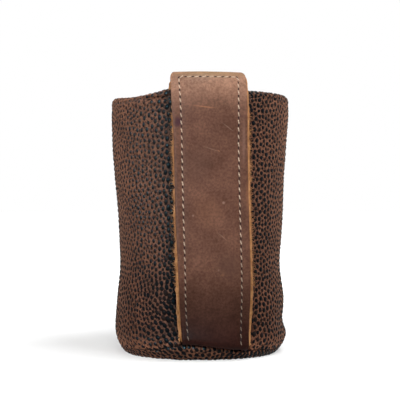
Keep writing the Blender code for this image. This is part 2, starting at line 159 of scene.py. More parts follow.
# %% Lamps
def softbox(name, place, size, watts, colour=(1.0, 1.0, 1.0)):
    """A square lamp that faces the middle of the sleeve."""
    lamp = bpy.data.lights.new(name, "AREA")
    lamp.size = size
    lamp.energy = watts
    lamp.color = colour
    obj = bpy.data.objects.new(name, lamp)
    scene.collection.objects.link(obj)
    obj.location = place
    aim = Vector((0.0, 0.0, 60 * MM)) - obj.location
    obj.rotation_euler = aim.to_track_quat("-Z", "Y").to_euler()
    return obj


GLINT_SIZE = 0.2
GLINT_BLUE = (0.6, 0.92, 1.0)

softbox("overhead", (0.25, -0.35, 1.1), 0.3, 8.2, (0.97, 0.985, 1.0))
softbox("front", (0.0, -1.1, 0.85), 0.3, 7.8, (1.0, 0.99, 0.97))
softbox("right", (1.0, -0.25, 0.5), 0.6, 3.1)
softbox("left", (-1.0, -0.3, 0.28), 0.3, 5.6, (1.0, 0.98, 0.95))
# Two small bright cards are seen only as highlights in the glossy pebbles, and light nothing else.
for name, place, watts in (("glint_left", (-0.62, -0.9, 0.3), 95.0),
                           ("glint_above", (0.0, -0.35, 1.1), 30.0)):
    softbox(name, place, GLINT_SIZE, watts, GLINT_BLUE).visible_diffuse = False

# %% Floor
FLOOR_SIZE = 12.0
FLOOR_GREY = (0.5, 0.5, 0.5, 1.0)
FLOOR_LIFT = 0.5
LIFT_START = 60 * MM
LIFT_END = 400 * MM
bpy.ops.mesh.primitive_plane_add(size=FLOOR_SIZE, location=(0, 0, 0))
floor = bpy.context.object
floor.name = "floor"
paint = bpy.data.materials.new("floor_paint")
paint.use_nodes = True
tree = paint.node_tree
tree.nodes.clear()
place = add(tree, "ShaderNodeTexCoord").outputs["Object"]
away = add(tree, "ShaderNodeVectorMath", {0: place}, operation="LENGTH").outputs["Value"]
near = map_range(tree, away, LIFT_START, LIFT_END, FLOOR_LIFT, 1.0,
                 interpolation_type="SMOOTHSTEP")
matt = add(tree, "ShaderNodeBsdfDiffuse", {"Color": FLOOR_GREY})
glow = add(tree, "ShaderNodeEmission", {"Strength": maths(tree, "MULTIPLY", shown(tree), near)})
both = add(tree, "ShaderNodeAddShader", {0: matt.outputs[0], 1: glow.outputs[0]})
add(tree, "ShaderNodeOutputMaterial", {"Surface": both.outputs[0]})
floor.data.materials.append(paint)
floor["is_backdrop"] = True

# %% [markdown]
# ## Sizes
# These are the sizes of the real pieces, the same ones that the solids are built from, so that
# the finer meshes lie exactly where the solids do.

# %% Sizes of the tube
LEATHER = 1.3 * MM
FOAM = 2.7 * MM
PAD = 4.0 * MM
CLEARANCE = 0.25 * MM
CAN_RADIUS = 33.1 * MM
CAN_SPARE = 0.15 * MM
RIM_HEIGHT = 119.5 * MM
SHOULDER_DROP = 7.5 * MM
TOP_WIDENING = 3.9 * MM
TOP_DEEPENING = 2.5 * MM
WAIST_HEIGHT = 45.0 * MM
WAIST_RADIUS = CAN_RADIUS + CAN_SPARE + FOAM + CLEARANCE + LEATHER
FOOT_HEIGHT = 13.0 * MM
FOOT_WIDENING = 2.4 * MM
FOOT_DEEPENING = 1.7 * MM
SOFT_FORMS = (
    (98 * DEG, 16.5 * MM, -1.3 * MM, 30 * DEG, 4.6 * MM),
    (94 * DEG, 28.0 * MM, 0.5 * MM, 34 * DEG, 6.0 * MM),
    (-84 * DEG, 91.5 * MM, 0.6 * MM, 40 * DEG, 24.0 * MM),
    (92 * DEG, 110.5 * MM, 0.5 * MM, 40 * DEG, 9.0 * MM),
    (90 * DEG, 63.0 * MM, 0.5 * MM, 40 * DEG, 14.0 * MM),
    (98 * DEG, 9.0 * MM, 0.9 * MM, 28 * DEG, 4.0 * MM),
    (-35 * DEG, 24.0 * MM, 0.4 * MM, 22 * DEG, 9.0 * MM),
)

# %% Sizes of the foot, the mouth and the seams
CORNER_HEIGHT = 8.5 * MM
CORNER_INSET = 4.8 * MM
CORNER_POWER = 1.8
SEAM_HEIGHT = 5.6 * MM
SEAM_WANDER = 1.6 * MM
SEAM_WANDER_CENTRE = 8 * DEG
SEAM_WANDER_REACH = 24 * DEG
SEAM_DROP = 2.0 * MM
SEAM_DROP_START = 26 * DEG
SEAM_DROP_REACH = 24 * DEG
SPREAD_LEFT = 1.4 * MM
SPREAD_RIGHT = 0.8 * MM
SPREAD_EASE = 1.2 * DEG
ROLL = 0.4 * MM
BASE_ROLL = 1.2 * MM
SIDE_BASE_ROLL = 0.5 * MM
BASE_ROLL_REACH = 38 * DEG
FACING_DEPTH = 22.0 * MM
FOLD_HEIGHT = 2.2 * MM
GROOVE_DROP = 2.8 * MM
GROOVE_DEPTH = 0.15 * MM
PULL_DEPTH = 1.35 * MM
GROOVE_HALF_HEIGHT = 1.1 * MM
GROOVE_CENTRE = -35 * DEG
GROOVE_REACH = 14 * DEG
GROOVE_WANDER = (
    (-28 * DEG, -0.7 * MM, 10 * DEG),
    (-50 * DEG, 0.9 * MM, 12 * DEG),
)
PULL_SWELL = 0.4 * MM
RIM_FORMS = (
    (-60 * DEG, -2.1 * MM, 26 * DEG),
    (-21 * DEG, 1.3 * MM, 13 * DEG),
    (-98 * DEG, -0.7 * MM, 16 * DEG),
)
UPRIGHT_SEAM_DEPTH = 0.7 * MM
UPRIGHT_SEAM_HALF_WIDTH = 1.1 * MM

# %% Sizes of the strap
STRAP_LAYER = 1.25 * MM
STRAP_LAYER_GAP = 0.2 * MM
STRAP_HALF_WIDTH = 16.8 * MM
STRAP_TOP_FLARE = 0.5 * MM
STRAP_FOOT_TAPER = 0.9 * MM
STRAP_LEAN = 3.7 * MM
STRAP_TOP_OFFSET = -0.7 * MM
HAND_GAP = 8.3 * MM
CROWN_RISE = 7.7 * MM
CROWN_OVERHANG = 0.6 * MM
CROWN_LENGTH = 21.5 * MM
LOWER_CURVE = 42.0 * MM
TUCK_DEPTH = 11.5 * MM
FREE_WRAP = 0.15
LEFT_ROW_INSET = 3.9 * MM
RIGHT_ROW_INSET = 5.1 * MM
CROSS_ROW_DROP = 1.9 * MM

STRAP = 2 * STRAP_LAYER + STRAP_LAYER_GAP
MOUTH_THICKNESS = 2 * LEATHER + max(FOAM, STRAP) + 2 * CLEARANCE
FOLD_START = RIM_HEIGHT - FOLD_HEIGHT
FACING_END = RIM_HEIGHT - FACING_DEPTH
HEM_START = RIM_HEIGHT - 7.5 * MM
STRAP_TOP = RIM_HEIGHT + CROWN_RISE - STRAP / 2
STRAP_REACH = WAIST_RADIUS + HAND_GAP + STRAP / 2
CROWN_REACH = WAIST_RADIUS + TOP_DEEPENING + CROWN_OVERHANG

# %% [markdown]
# ## The shape of the wall
# The wall is a tube whose radius depends on the angle and the height. It is round at the waist and
# a soft oval at the mouth and the foot, with a few named dents and swells. Writing it as a function
# means that the leather, its pebbles and its stitches all read the same surface.


# %% Small functions
def smooth(t):
    """A step from 0 to 1 with soft ends."""
    t = min(max(t, 0.0), 1.0)
    return t * t * (3 - 2 * t)


def bell(distance, reach):
    return math.exp(-((distance / reach) ** 2))


def turn_between(a, b):
    """The signed angle from b to a, the short way round."""
    return (a - b + math.pi) % (2 * math.pi) - math.pi


def bells(theta, forms):
    """What (angle, rise, reach) forms add up to at an angle round the axis."""
    return sum(rise * bell(turn_between(theta, angle), reach) for angle, rise, reach in forms)


def swells(theta, z, forms):
    """What (angle, height, swell, reach, rise) forms add up to at a point of the wall."""
    return sum(swell * bell(turn_between(theta, angle), reach) * bell(z - height, rise)
               for angle, height, swell, reach, rise in forms)


def steps(low, high, count):
    """count + 1 even values from low to high."""
    return [low + (high - low) * i / count for i in range(count + 1)]


# %% Radius of the wall
def wall_radius(theta, z):
    """Distance from the axis to the outside of the leather, seams and grooves left out."""
    level = max(z, CORNER_HEIGHT)
    if level >= WAIST_HEIGHT:
        t = min((level - WAIST_HEIGHT) / (RIM_HEIGHT - SHOULDER_DROP - WAIST_HEIGHT), 1.0)
        share = (t + smooth(t)) / 2
        half_width, half_depth = TOP_WIDENING * share, TOP_DEEPENING * share
    else:
        share = smooth((WAIST_HEIGHT - level) / (WAIST_HEIGHT - FOOT_HEIGHT))
        half_width, half_depth = FOOT_WIDENING * share, FOOT_DEEPENING * share
    half_width += WAIST_RADIUS
    half_depth += WAIST_RADIUS
    radius = 1 / math.hypot(math.sin(theta) / half_width, math.cos(theta) / half_depth)
    radius += swells(theta, level, SOFT_FORMS)
    if z < CORNER_HEIGHT:
        drop = min((CORNER_HEIGHT - z) / CORNER_HEIGHT, 1.0)
        radius -= CORNER_INSET * drop**CORNER_POWER
    return radius


def rim_lift(theta, z):
    """The mouth isn't level: its leather rises beside the strap and sags to the left of it."""
    return bells(theta, RIM_FORMS) * smooth((z - WAIST_HEIGHT) / (FACING_END - WAIST_HEIGHT))


def around(theta, radius, z):
    return Vector((radius * math.sin(theta), -radius * math.cos(theta), z + rim_lift(theta, z)))


# %% Seams of the wall
def seam_height(theta):
    """The base seam rises to the left of the strap and drops to the right of it."""
    turn = turn_between(theta, SEAM_WANDER_CENTRE)
    u = turn / SEAM_WANDER_REACH
    drop = SEAM_DROP * smooth((abs(turn) - SEAM_DROP_START) / SEAM_DROP_REACH)
    return SEAM_HEIGHT - SEAM_WANDER * u * math.exp((1 - u * u) / 2) - drop


def strap_edges(z):
    """Left and right edge of the backing, across the strap, at a height."""
    share = z / STRAP_TOP
    middle = STRAP_TOP_OFFSET + STRAP_LEAN * (1 - share) ** 2
    half = STRAP_HALF_WIDTH
    half += STRAP_TOP_FLARE * smooth((share - 0.75) / 0.25)
    half -= STRAP_FOOT_TAPER * smooth((0.25 - share) / 0.25)
    return middle - half, middle + half


def seam_end_radius(theta):
    """Where the turned edges of the wall and the base stop, short of the foam."""
    return wall_radius(theta, WAIST_HEIGHT) - LEATHER


def seam_spread(theta):
    """How much further the wall's edge stands off the base's, to let the strap's end in."""
    radius = seam_end_radius(0)
    left, right = strap_edges(SEAM_HEIGHT)
    turn = turn_between(theta, 0)
    inside = min((right - SPREAD_RIGHT) / radius - turn, turn - (left + SPREAD_LEFT) / radius)
    return (STRAP + CLEARANCE) * smooth(1 + inside / SPREAD_EASE)


def wall_edge_height(theta):
    return seam_height(theta) + CLEARANCE / 2 + seam_spread(theta)


def base_roll(theta):
    """The base's edge stands out as a round roll below the strap and flattens to the sides."""
    near = bell(turn_between(theta, SEAM_WANDER_CENTRE), BASE_ROLL_REACH)
    return SIDE_BASE_ROLL + (BASE_ROLL - SIDE_BASE_ROLL) * near


# %% [markdown]
# ## Soft leather
# Leather that is sewn over foam is never quite even. It swells just above the base seam, puckers
# where the thread of the mouth pulls it in, and rolls a little everywhere. Each of these is a few
# tenths of a millimetre, added to the radius.

# %% Relief of the wall
SKIN = 0.3 * MM
SWELL = 0.35 * MM
SWELL_HEIGHT = 9.6 * MM
SWELL_RISE = 3.2 * MM
SWELL_START = 18 * DEG
SWELL_EASE = 10 * DEG
PULL_SWELL_DROP = 1.9 * MM
PULL_SWELL_RISE = 1.0 * MM
PUCKER = 0.22 * MM
PUCKER_PITCH = 5.2 * DEG
HEM_PUCKER_RISE = 1.8 * MM
FOOT_PUCKER_RISE = 3.0 * MM
FOOT_PUCKER_SHARE = 0.7
ROLLING = 0.16 * MM
ROLLING_SIZE = 11 * MM
LOOSE_FORMS = (
    (-95 * DEG, 7.0 * MM, -0.7 * MM, 30 * DEG, 4.0 * MM),
    (-92 * DEG, 50.0 * MM, 0.35 * MM, 30 * DEG, 12.0 * MM),
    (86 * DEG, 55.0 * MM, 0.35 * MM, 30 * DEG, 15.0 * MM),
    (86 * DEG, 12.5 * MM, -0.4 * MM, 30 * DEG, 4.0 * MM),
    (42 * DEG, 1.0 * MM, 0.8 * MM, 24 * DEG, 3.0 * MM),
)


def loose(theta, z):
    """Small swells and hollows of the leather that the foam behind it doesn't follow."""
    return swells(theta, z, LOOSE_FORMS)


def groove_height(theta):
    """The thread of the mouth dips beside the strap and comes close to the fold left of that."""
    return RIM_HEIGHT - GROOVE_DROP + bells(theta, GROOVE_WANDER)


def pull(theta):
    """How hard the thread is drawn: 1 just left of the strap."""
    return bell(turn_between(theta, GROOVE_CENTRE), GROOVE_REACH)


def wall_relief(theta, z):
    """What the soft leather adds to the plain radius."""
    turn = abs(turn_between(theta, 0))
    beside = smooth((turn - SWELL_START) / SWELL_EASE)
    swell = SWELL * beside * bell(z - SWELL_HEIGHT, SWELL_RISE)
    below_groove = z - groove_height(theta) + PULL_SWELL_DROP
    swell += PULL_SWELL * pull(theta) * bell(below_groove, PULL_SWELL_RISE)
    wave = math.cos(2 * math.pi * theta / PUCKER_PITCH)
    hem = bell(z - (RIM_HEIGHT - GROOVE_DROP), HEM_PUCKER_RISE)
    foot = bell(z - seam_height(theta), FOOT_PUCKER_RISE)
    pucker = PUCKER * wave * (hem + FOOT_PUCKER_SHARE * foot)
    rolling = ROLLING * noise.noise(around(theta, WAIST_RADIUS, z) / ROLLING_SIZE)
    return swell + pucker + rolling + loose(theta, z) - SKIN


def groove(theta, z):
    """The thread pulls the leather in under the mouth, hardest just left of the strap."""
    away = abs(z - groove_height(theta))
    depth = GROOVE_DEPTH + (PULL_DEPTH - GROOVE_DEPTH) * pull(theta)
    return depth * smooth(1 - away / GROOVE_HALF_HEIGHT)


def upright_seam(theta):
    away = abs(turn_between(theta, 0)) * WAIST_RADIUS
    return UPRIGHT_SEAM_DEPTH * smooth(1 - away / UPRIGHT_SEAM_HALF_WIDTH)


# %% Outline of the wall's grain side
def grain_line(theta):
    """From the crease of the base seam, up the outside, over the fold and down the facing."""
    edge = wall_edge_height(theta)
    rolled = wall_radius(theta, edge + ROLL) + wall_relief(theta, edge + ROLL)
    middle = wall_radius(theta, FOLD_START) - MOUTH_THICKNESS / 2
    points = [(seam_end_radius(theta), edge)]
    for a in steps(0, math.pi / 2, 5):
        points.append((rolled - ROLL * (1 - math.sin(a)), edge + ROLL * (1 - math.cos(a))))
    for z in steps(edge + ROLL, HEM_START, 82)[1:] + steps(HEM_START, FOLD_START, 18)[1:-1]:
        dents = groove(theta, z) + upright_seam(theta)
        points.append((wall_radius(theta, z) + wall_relief(theta, z) - dents, z))
    for a in steps(0, math.pi, 16):
        z = FOLD_START + FOLD_HEIGHT * math.sin(a)
        relief = (wall_relief(theta, z) - groove(theta, z)) * max(math.cos(a), 0.0)
        points.append((middle + MOUTH_THICKNESS / 2 * math.cos(a) + relief, z))
    for z in steps(FOLD_START, FACING_END, 14)[1:]:
        points.append((wall_radius(theta, z) - MOUTH_THICKNESS, z))
    return points


def flesh_line(theta):
    """The hidden side, back from the facing's end to the seam."""
    edge = wall_edge_height(theta)
    middle = wall_radius(theta, FOLD_START) - MOUTH_THICKNESS / 2
    inset = MOUTH_THICKNESS - LEATHER
    points = [(wall_radius(theta, z) - inset, z) for z in steps(FACING_END, FOLD_START, 6)]
    for a in steps(math.pi, 0, 6)[1:-1]:
        radius = middle + (MOUTH_THICKNESS / 2 - LEATHER) * math.cos(a)
        points.append((radius, FOLD_START + (FOLD_HEIGHT - LEATHER) * math.sin(a)))
    for z in steps(FOLD_START, edge + LEATHER, 24):
        points.append((max(wall_radius(theta, z) - LEATHER, seam_end_radius(theta)), z))
    points.append((seam_end_radius(theta), edge + LEATHER))
    return points


# %% [markdown]
# ## Turning outlines into meshes
# An outline is carried round the axis, one copy for each angle. A closed outline gives a ring with
# a wall thickness. An open one gives a bare surface, which is used as the bed for the pebbles.

# %% Ring mesh
STATIONS = 216
ANGLES = [2 * math.pi * i / STATIONS for i in range(STATIONS)]


def new_object(name, mesh, material=None):
    obj = bpy.data.objects.new(name, mesh)
    scene.collection.objects.link(obj)
    if material:
        mesh.materials.append(material)
    return obj


def grid_mesh(name, rows, closed_rows, closed_columns):
    """Rows of points joined by quads."""
    count = len(rows[0])
    vertices = [point for row in rows for point in row]
    faces = []
    for i in range(len(rows) if closed_rows else len(rows) - 1):
        j = (i + 1) % len(rows)
        for k in range(count if closed_columns else count - 1):
            m = (k + 1) % count
            faces.append((i * count + k, j * count + k, j * count + m, i * count + m))
    mesh = bpy.data.meshes.new(name)
    mesh.from_pydata(vertices, [], faces)
    return mesh


def finish_mesh(mesh, sharp=50, capped=False):
    """Caps open ends if asked, turns the faces outwards and shades all but sharp edges smooth."""
    shape = bmesh.new()
    shape.from_mesh(mesh)
    if capped:
        bmesh.ops.holes_fill(shape, edges=shape.edges, sides=0)
    bmesh.ops.recalc_face_normals(shape, faces=shape.faces)
    shape.to_mesh(mesh)
    shape.free()
    mesh.shade_smooth()
    mesh.set_sharp_from_angle(angle=sharp * DEG)
    return mesh


def loft(line):
    """The outline's points at each station round the axis."""
    return [[around(theta, r, z) for r, z in line(theta)] for theta in ANGLES]


def ring(name, line, material):
    mesh = grid_mesh(name, loft(line), True, True)
    return new_object(name, finish_mesh(mesh), material)


# %% [markdown]
# ## Brown ground of the leather
# Between its pebbles the leather is a matt warm brown, with a net of fine copper ridges and darker
# grooves: partly the leather's own colour, partly painted light on the ridges and painted shade in
# the grooves. Cells from a Voronoi texture give the net, and two noises vary its colour.
# Under and just beside the strap the colour is darkened: painted shade cast by the strap. Everything
# reads Object coordinates, so the pattern is part of the piece and never slides.


# %% Material helpers
def new_material(name):
    material = bpy.data.materials.new(name)
    material.use_nodes = True
    tree = material.node_tree
    shader = tree.nodes["Principled BSDF"]
    place = add(tree, "ShaderNodeTexCoord").outputs["Object"]
    return material, tree, shader, place


def ramp(tree, value, stops):
    node = add(tree, "ShaderNodeValToRGB", {0: value})
    elements = node.color_ramp.elements
    while len(elements) < len(stops):
        elements.new(0.5)
    for element, (position, colour) in zip(elements, stops):
        element.position = position
        element.color = (*colour, 1.0)
    return node.outputs[0]


def blend_colour(tree, share, first, second, kind="MIX"):
    return add(tree, "ShaderNodeMix", {0: share, 6: first, 7: second}, data_type="RGBA",
               blend_type=kind).outputs[2]


def tinted(tree, colour, tint):
    return blend_colour(tree, 1.0, colour, tint, "MULTIPLY")


def noise_at(tree, place, scale, detail=2.0, roughness=0.5):
    return add(tree, "ShaderNodeTexNoise", {"Vector": place, "Scale": scale, "Detail": detail,
                                            "Roughness": roughness}).outputs[0]


def bump_from(tree, height, strength, distance):
    return add(tree, "ShaderNodeBump", {"Height": height, "Strength": strength,
                                        "Distance": distance}).outputs[0]


def split(tree, vector):
    return add(tree, "ShaderNodeSeparateXYZ", {0: vector}).outputs


# %% Ground colours
GROOVE_BROWN = (0.042, 0.019, 0.013)
GROUND_BROWN = (0.112, 0.052, 0.034)
RIDGE_COPPER = (0.25, 0.113, 0.068)

ground, tree, shader, place = new_material("pebbled_leather_ground")
net = add(tree, "ShaderNodeTexVoronoi", {"Vector": place, "Scale": 620.0},
          feature="DISTANCE_TO_EDGE")
ridge = map_range(tree, net.outputs["Distance"], 0.0, 0.3, 1.0, 0.0)
ridges = maths(tree, "MULTIPLY", ridge, noise_at(tree, place, 900.0, 3.0))
# Copper ridges are partly painted light and dark grooves partly painted shade, over the leather's
# own brown.
colour = ramp(tree, ridges, ((0.02, GROOVE_BROWN), (0.26, GROUND_BROWN), (0.6, RIDGE_COPPER)))
patches = ramp(tree, noise_at(tree, place, 70.0), ((0.3, (0.78, 0.78, 0.78)),
                                                   (0.7, (1.15, 1.12, 1.1))))
colour = tinted(tree, colour, patches)
xyz = split(tree, place)
# Painted light and shade by height: lighter on the roll of the base, darker over the lower wall
# where less light falls, full colour from 70 mm up.
low = ramp(tree, map_range(tree, xyz["Z"], 0.0, 70 * MM), (
    (0.08, (1.4, 1.34, 1.28)), (0.15, (0.72, 0.67, 0.65)), (0.35, (0.74, 0.7, 0.68)),
    (1.0, (1.0, 1.0, 1.0)),
))
colour = tinted(tree, colour, low)

# %% Painted shade under and beside the strap
# Painted shade cast by the strap, set by a distance from the strap's middle, which leans with
# height.
# Leather behind the axis and below the seam counts as far away, so only the front wall is darkened.
LEAN_SLOPE = 0.024
LEAN_START = 2.2 * MM
PAINTED_STRAP_SHADE = 0.36
FAR = 20 * MM
offset = maths(tree, "MULTIPLY_ADD", xyz["Z"], LEAN_SLOPE, xyz["X"])
offset = maths(tree, "ABSOLUTE", maths(tree, "SUBTRACT", offset, LEAN_START))
behind = map_range(tree, xyz["Y"], -25 * MM, -15 * MM, 0.0, FAR)
below = map_range(tree, xyz["Z"], 12 * MM, 7 * MM, 0.0, FAR)
away = maths(tree, "ADD", offset, maths(tree, "ADD", behind, below))
strap_shade = map_range(tree, away, 16 * MM, 21 * MM, PAINTED_STRAP_SHADE, 1.0, interpolation_type="SMOOTHSTEP")
fill(tree, shader, {
    "Base Color": tinted(tree, colour, strap_shade), "Normal": bump_from(tree, ridges, 0.6, 0.25 * MM),
    "Roughness": 0.62, "Specular IOR Level": 0.02, "Sheen Weight": 0.22, "Sheen Roughness": 0.4,
    "Sheen Tint": (0.9, 0.45, 0.27, 1.0),
})

# %% Wall
wall = ring("wall_leather", lambda theta: grain_line(theta) + flesh_line(theta), ground)
print("wall:", len(wall.data.polygons), "faces")

# %% [markdown]
# ## Pebbles
# The grain is thousands of small glossy near-black domes, a bit longer than wide. Modelling them
# by hand is out of the question and a bump map would lose their highlights. On the hide they grew
# side by side and pushed each other apart, and the script does the same: points are thrown on a
# tube or a disc as large as the leather, and each moves away from its neighbours until all lie
# evenly, with more room for the large ones. Then Geometry Nodes puts a dome on each point.

# %% Size and lean of a pebble
LOW_LEAN = 50 * DEG
TOP_LEAN = 34 * DEG


def pebble_size(theta, z):
    """Pebbles are largest beside the strap, smaller round the sides, and worn low at one corner."""
    front = bell(turn_between(theta, 8 * DEG), 48 * DEG)
    sides = smooth((abs(turn_between(theta, 0)) - 55 * DEG) / (25 * DEG))
    beside_strap = bell(turn_between(theta, -25 * DEG), 9 * DEG)
    low = smooth((50 * MM - z) / (30 * MM)) * smooth((z - 7 * MM) / (4 * MM))
    size = 0.95 + 0.3 * front - 0.12 * sides + 0.24 * beside_strap + 0.16 * low
    worn = bell(turn_between(theta, -64 * DEG), 26 * DEG) * smooth((z - 110 * MM) / (6 * MM))
    return size * (1 - 0.4 * worn)


def pebble_round(theta):
    """1 to the right of the strap, where the pebbles are as wide as they are long."""
    turn = turn_between(theta, 0)
    start = smooth((turn - 15 * DEG) / (25 * DEG))
    return start * smooth((160 * DEG - turn) / (30 * DEG))


def pebble_lean(theta, z):
    """Upright on the wall, fanning outwards near the foot and inwards under the mouth."""
    low = smooth((48 * MM - z) / (40 * MM))
    top = smooth((z - 106 * MM) / (9 * MM))
    tilt = math.sin(theta) / max(abs(math.sin(theta)), 0.5) * (LOW_LEAN * low - TOP_LEAN * top)
    across = Vector((math.cos(theta), math.sin(theta), 0.0))
    return across * math.sin(tilt) + Vector((0.0, 0.0, math.cos(tilt)))


# %% Points that push each other apart
SPACING = 2.5 * MM
POINT_AREA = 0.78 * SPACING**2
PUSH_REACH = 1.3
PUSH = 0.2
ROUNDS = 60
MARGIN = 2.5 * MM
SMALLEST, LARGEST = 0.5, 1.12


def even_points(area, throw, settle, chance):
    """Random points of random sizes that push each other apart, as (point, size) pairs."""
    points = [settle(throw()) for i in range(round(area / POINT_AREA))]
    sizes = [SMALLEST + (LARGEST - SMALLEST) * math.sqrt(chance.random()) for point in points]
    for again in range(ROUNDS):
        tree = kdtree.KDTree(len(points))
        for i, point in enumerate(points):
            tree.insert(point, i)
        tree.balance()
        moved = []
        for point, size in zip(points, sizes):
            push = Vector()
            for other, i, distance in tree.find_range(point, PUSH_REACH * SPACING * LARGEST):
                room = PUSH_REACH * SPACING * (size + sizes[i]) / 2
                if 0 < distance < room:
                    push += (point - other) * (room / distance - 1)
            moved.append(settle(point + push * PUSH))
        points = moved
    return zip(points, sizes)


def points_on_tube(radius, length, chance):
    """(angle, travel, size) all over a tube; the margin keeps them from lining up at its ends."""
    def settle(point):
        flat = Vector((point.x, point.y, 0.0)).normalized() * radius
        return Vector((flat.x, flat.y, min(max(point.z, -MARGIN), length + MARGIN)))

    def throw():
        angle = chance.uniform(0, 2 * math.pi)
        return Vector((math.cos(angle), math.sin(angle), chance.uniform(-MARGIN, length + MARGIN)))

    area = 2 * math.pi * radius * (length + 2 * MARGIN)
    return [(math.atan2(p.y, p.x), p.z, size) for p, size in even_points(area, throw, settle, chance)
            if 0 < p.z < length]


def points_on_disc(radius, chance):
    """(angle, travel, size) all over a disc, where travel starts at its middle."""
    def settle(point):
        flat = Vector((point.x, point.y, 0.0))
        return flat * min((radius + MARGIN) / max(flat.length, 1e-9), 1.0)

    def throw():
        reach = (radius + MARGIN) * math.sqrt(chance.random())
        angle = chance.uniform(0, 2 * math.pi)
        return Vector((reach * math.cos(angle), reach * math.sin(angle), 0.0))

    area = math.pi * (radius + MARGIN) ** 2
    return [(math.atan2(p.y, p.x), p.length, size)
            for p, size in even_points(area, throw, settle, chance) if p.length < radius]


# %% Points laid on the leather
def surface_point(rows, lengths, turn, travel):
    """A point of a lofted surface: turn counts stations, travel is the distance up its outline."""
    travel = min(max(travel, 0.0), lengths[-1] - 1e-9)
    k = bisect.bisect_right(lengths, travel) - 1
    along = (travel - lengths[k]) / (lengths[k + 1] - lengths[k])
    i = int(turn // 1) % len(rows)
    j = (i + 1) % len(rows)
    low = rows[i][k].lerp(rows[j][k], turn % 1)
    high = rows[i][k + 1].lerp(rows[j][k + 1], turn % 1)
    return low.lerp(high, along)


def outline_rows(line):
    """The outline at each station, and the distance up it at each of its points."""
    rows = loft(line)
    lengths = [0.0]
    for a, b in zip(rows[0], rows[0][1:]):
        lengths.append(lengths[-1] + (b - a).length)
    return rows, lengths


def note(mesh, name, kind, values):
    """Stores a number or a vector on each point of a mesh."""
    field = "vector" if kind == "FLOAT_VECTOR" else "value"
    mesh.attributes.new(name, kind, "POINT").data.foreach_set(field, values)


def pebble_bed(rows, lengths, start, spots):
    """A mesh of bare points on the leather. Each knows its size and shape and which way is out."""
    vertices, sizes, rounds, leans, outs = [], [], [], [], []
    step = 0.3 * MM
    for angle, travel, size in spots:
        turn = angle / (2 * math.pi) * STATIONS
        point = surface_point(rows, lengths, turn, start + travel)
        across = surface_point(rows, lengths, turn + 0.5, start + travel) - point
        along = (surface_point(rows, lengths, turn, start + travel + step)
                 - surface_point(rows, lengths, turn, start + travel - step))
        vertices.append(point)
        sizes.append(size * pebble_size(angle, point.z))
        rounds.append(pebble_round(angle))
        leans.extend(pebble_lean(angle, point.z))
        outs.extend(across.cross(along).normalized())
    mesh = bpy.data.meshes.new("pebble_bed")
    mesh.from_pydata(vertices, [], [])
    note(mesh, "pebble_size", "FLOAT", sizes)
    note(mesh, "pebble_round", "FLOAT", rounds)
    note(mesh, "pebble_lean", "FLOAT_VECTOR", leans)
    note(mesh, "outward", "FLOAT_VECTOR", outs)
    return mesh


# %% Making and running trees
SOCKETS = {"Seed": "NodeSocketInt", "Material": "NodeSocketMaterial"}


def new_tree(name, *labels):
    """An empty Geometry Nodes tree with named inputs. Those not in SOCKETS are plain numbers."""
    tree = bpy.data.node_groups.new(name, "GeometryNodeTree")
    tree.interface.new_socket("Geometry", in_out="INPUT", socket_type="NodeSocketGeometry")
    for label in labels:
        kind = SOCKETS.get(label, "NodeSocketFloat")
        tree.interface.new_socket(label, in_out="INPUT", socket_type=kind)
    tree.interface.new_socket("Geometry", in_out="OUTPUT", socket_type="NodeSocketGeometry")
    return tree, tree.nodes.new("NodeGroupInput").outputs, tree.nodes.new("NodeGroupOutput")


def grow(mesh, tree, **pieces):
    """Runs a tree on a mesh with each piece's values, and keeps the results as plain meshes."""
    source = new_object(tree.name, mesh)
    grown = []
    for name, values in pieces.items():
        modifier = source.modifiers.new(tree.name, "NODES")
        modifier.node_group = tree
        for item in tree.interface.items_tree:
            if item.in_out == "INPUT" and item.name in values:
                modifier[item.identifier] = values[item.name]
        ready = source.evaluated_get(bpy.context.evaluated_depsgraph_get())
        shape = bpy.data.meshes.new_from_object(ready)
        source.modifiers.clear()
        grown.append(new_object(name, shape))
        print(f"{name}: {sum(len(p.vertices) - 2 for p in shape.polygons)} triangles")
    bpy.data.objects.remove(source)
    return grown


# %% What the trees share
def stored(tree, name, kind="FLOAT_VECTOR"):
    """An attribute of the points."""
    return add(tree, "GeometryNodeInputNamedAttribute", {"Name": name},
               data_type=kind).outputs["Attribute"]


def random_number(tree, low, high, seed):
    return add(tree, "FunctionNodeRandomValue", {2: low, 3: high, 8: seed},
               data_type="FLOAT").outputs[1]


def combine(tree, x, y, z):
    return add(tree, "ShaderNodeCombineXYZ", {0: x, 1: y, 2: z}).outputs[0]


def facing_out(tree):
    """The rotation that stands a shape upright on the surface."""
    return add(tree, "FunctionNodeAlignRotationToVector", {"Vector": stored(tree, "outward")},
               axis="Z").outputs[0]


def turned_along(tree, rotation, direction):
    """Turns a standing shape about its own height, until its length follows a direction."""
    return add(tree, "FunctionNodeAlignRotationToVector", {"Rotation": rotation,
                                                           "Vector": direction},
               axis="Y", pivot_axis="Z").outputs[0]


def copies_of(tree, shape, points, rotation, scale):
    return add(tree, "GeometryNodeInstanceOnPoints", {
        "Points": points, "Instance": shape, "Rotation": rotation, "Scale": scale,
    }).outputs[0]


def end_tree(tree, copies, material, result, rounded=True):
    """Makes the copies real, shades them smooth if asked and gives them their material."""
    shape = add(tree, "GeometryNodeRealizeInstances", {0: copies})
    if rounded:
        shape = add(tree, "GeometryNodeSetShadeSmooth", {0: shape.outputs[0]})
    dressed = add(tree, "GeometryNodeSetMaterial", {0: shape.outputs[0], "Material": material})
    tree.links.new(dressed.outputs[0], result.inputs[0])


# %% Pebble tree
WIDER, SHORTER = 1.22, 0.84
planting, given, result = new_tree("pebble_planting", "Width", "Length", "Height", "Seed",
                                   "Material")
turned = turned_along(planting, facing_out(planting), stored(planting, "pebble_lean"))

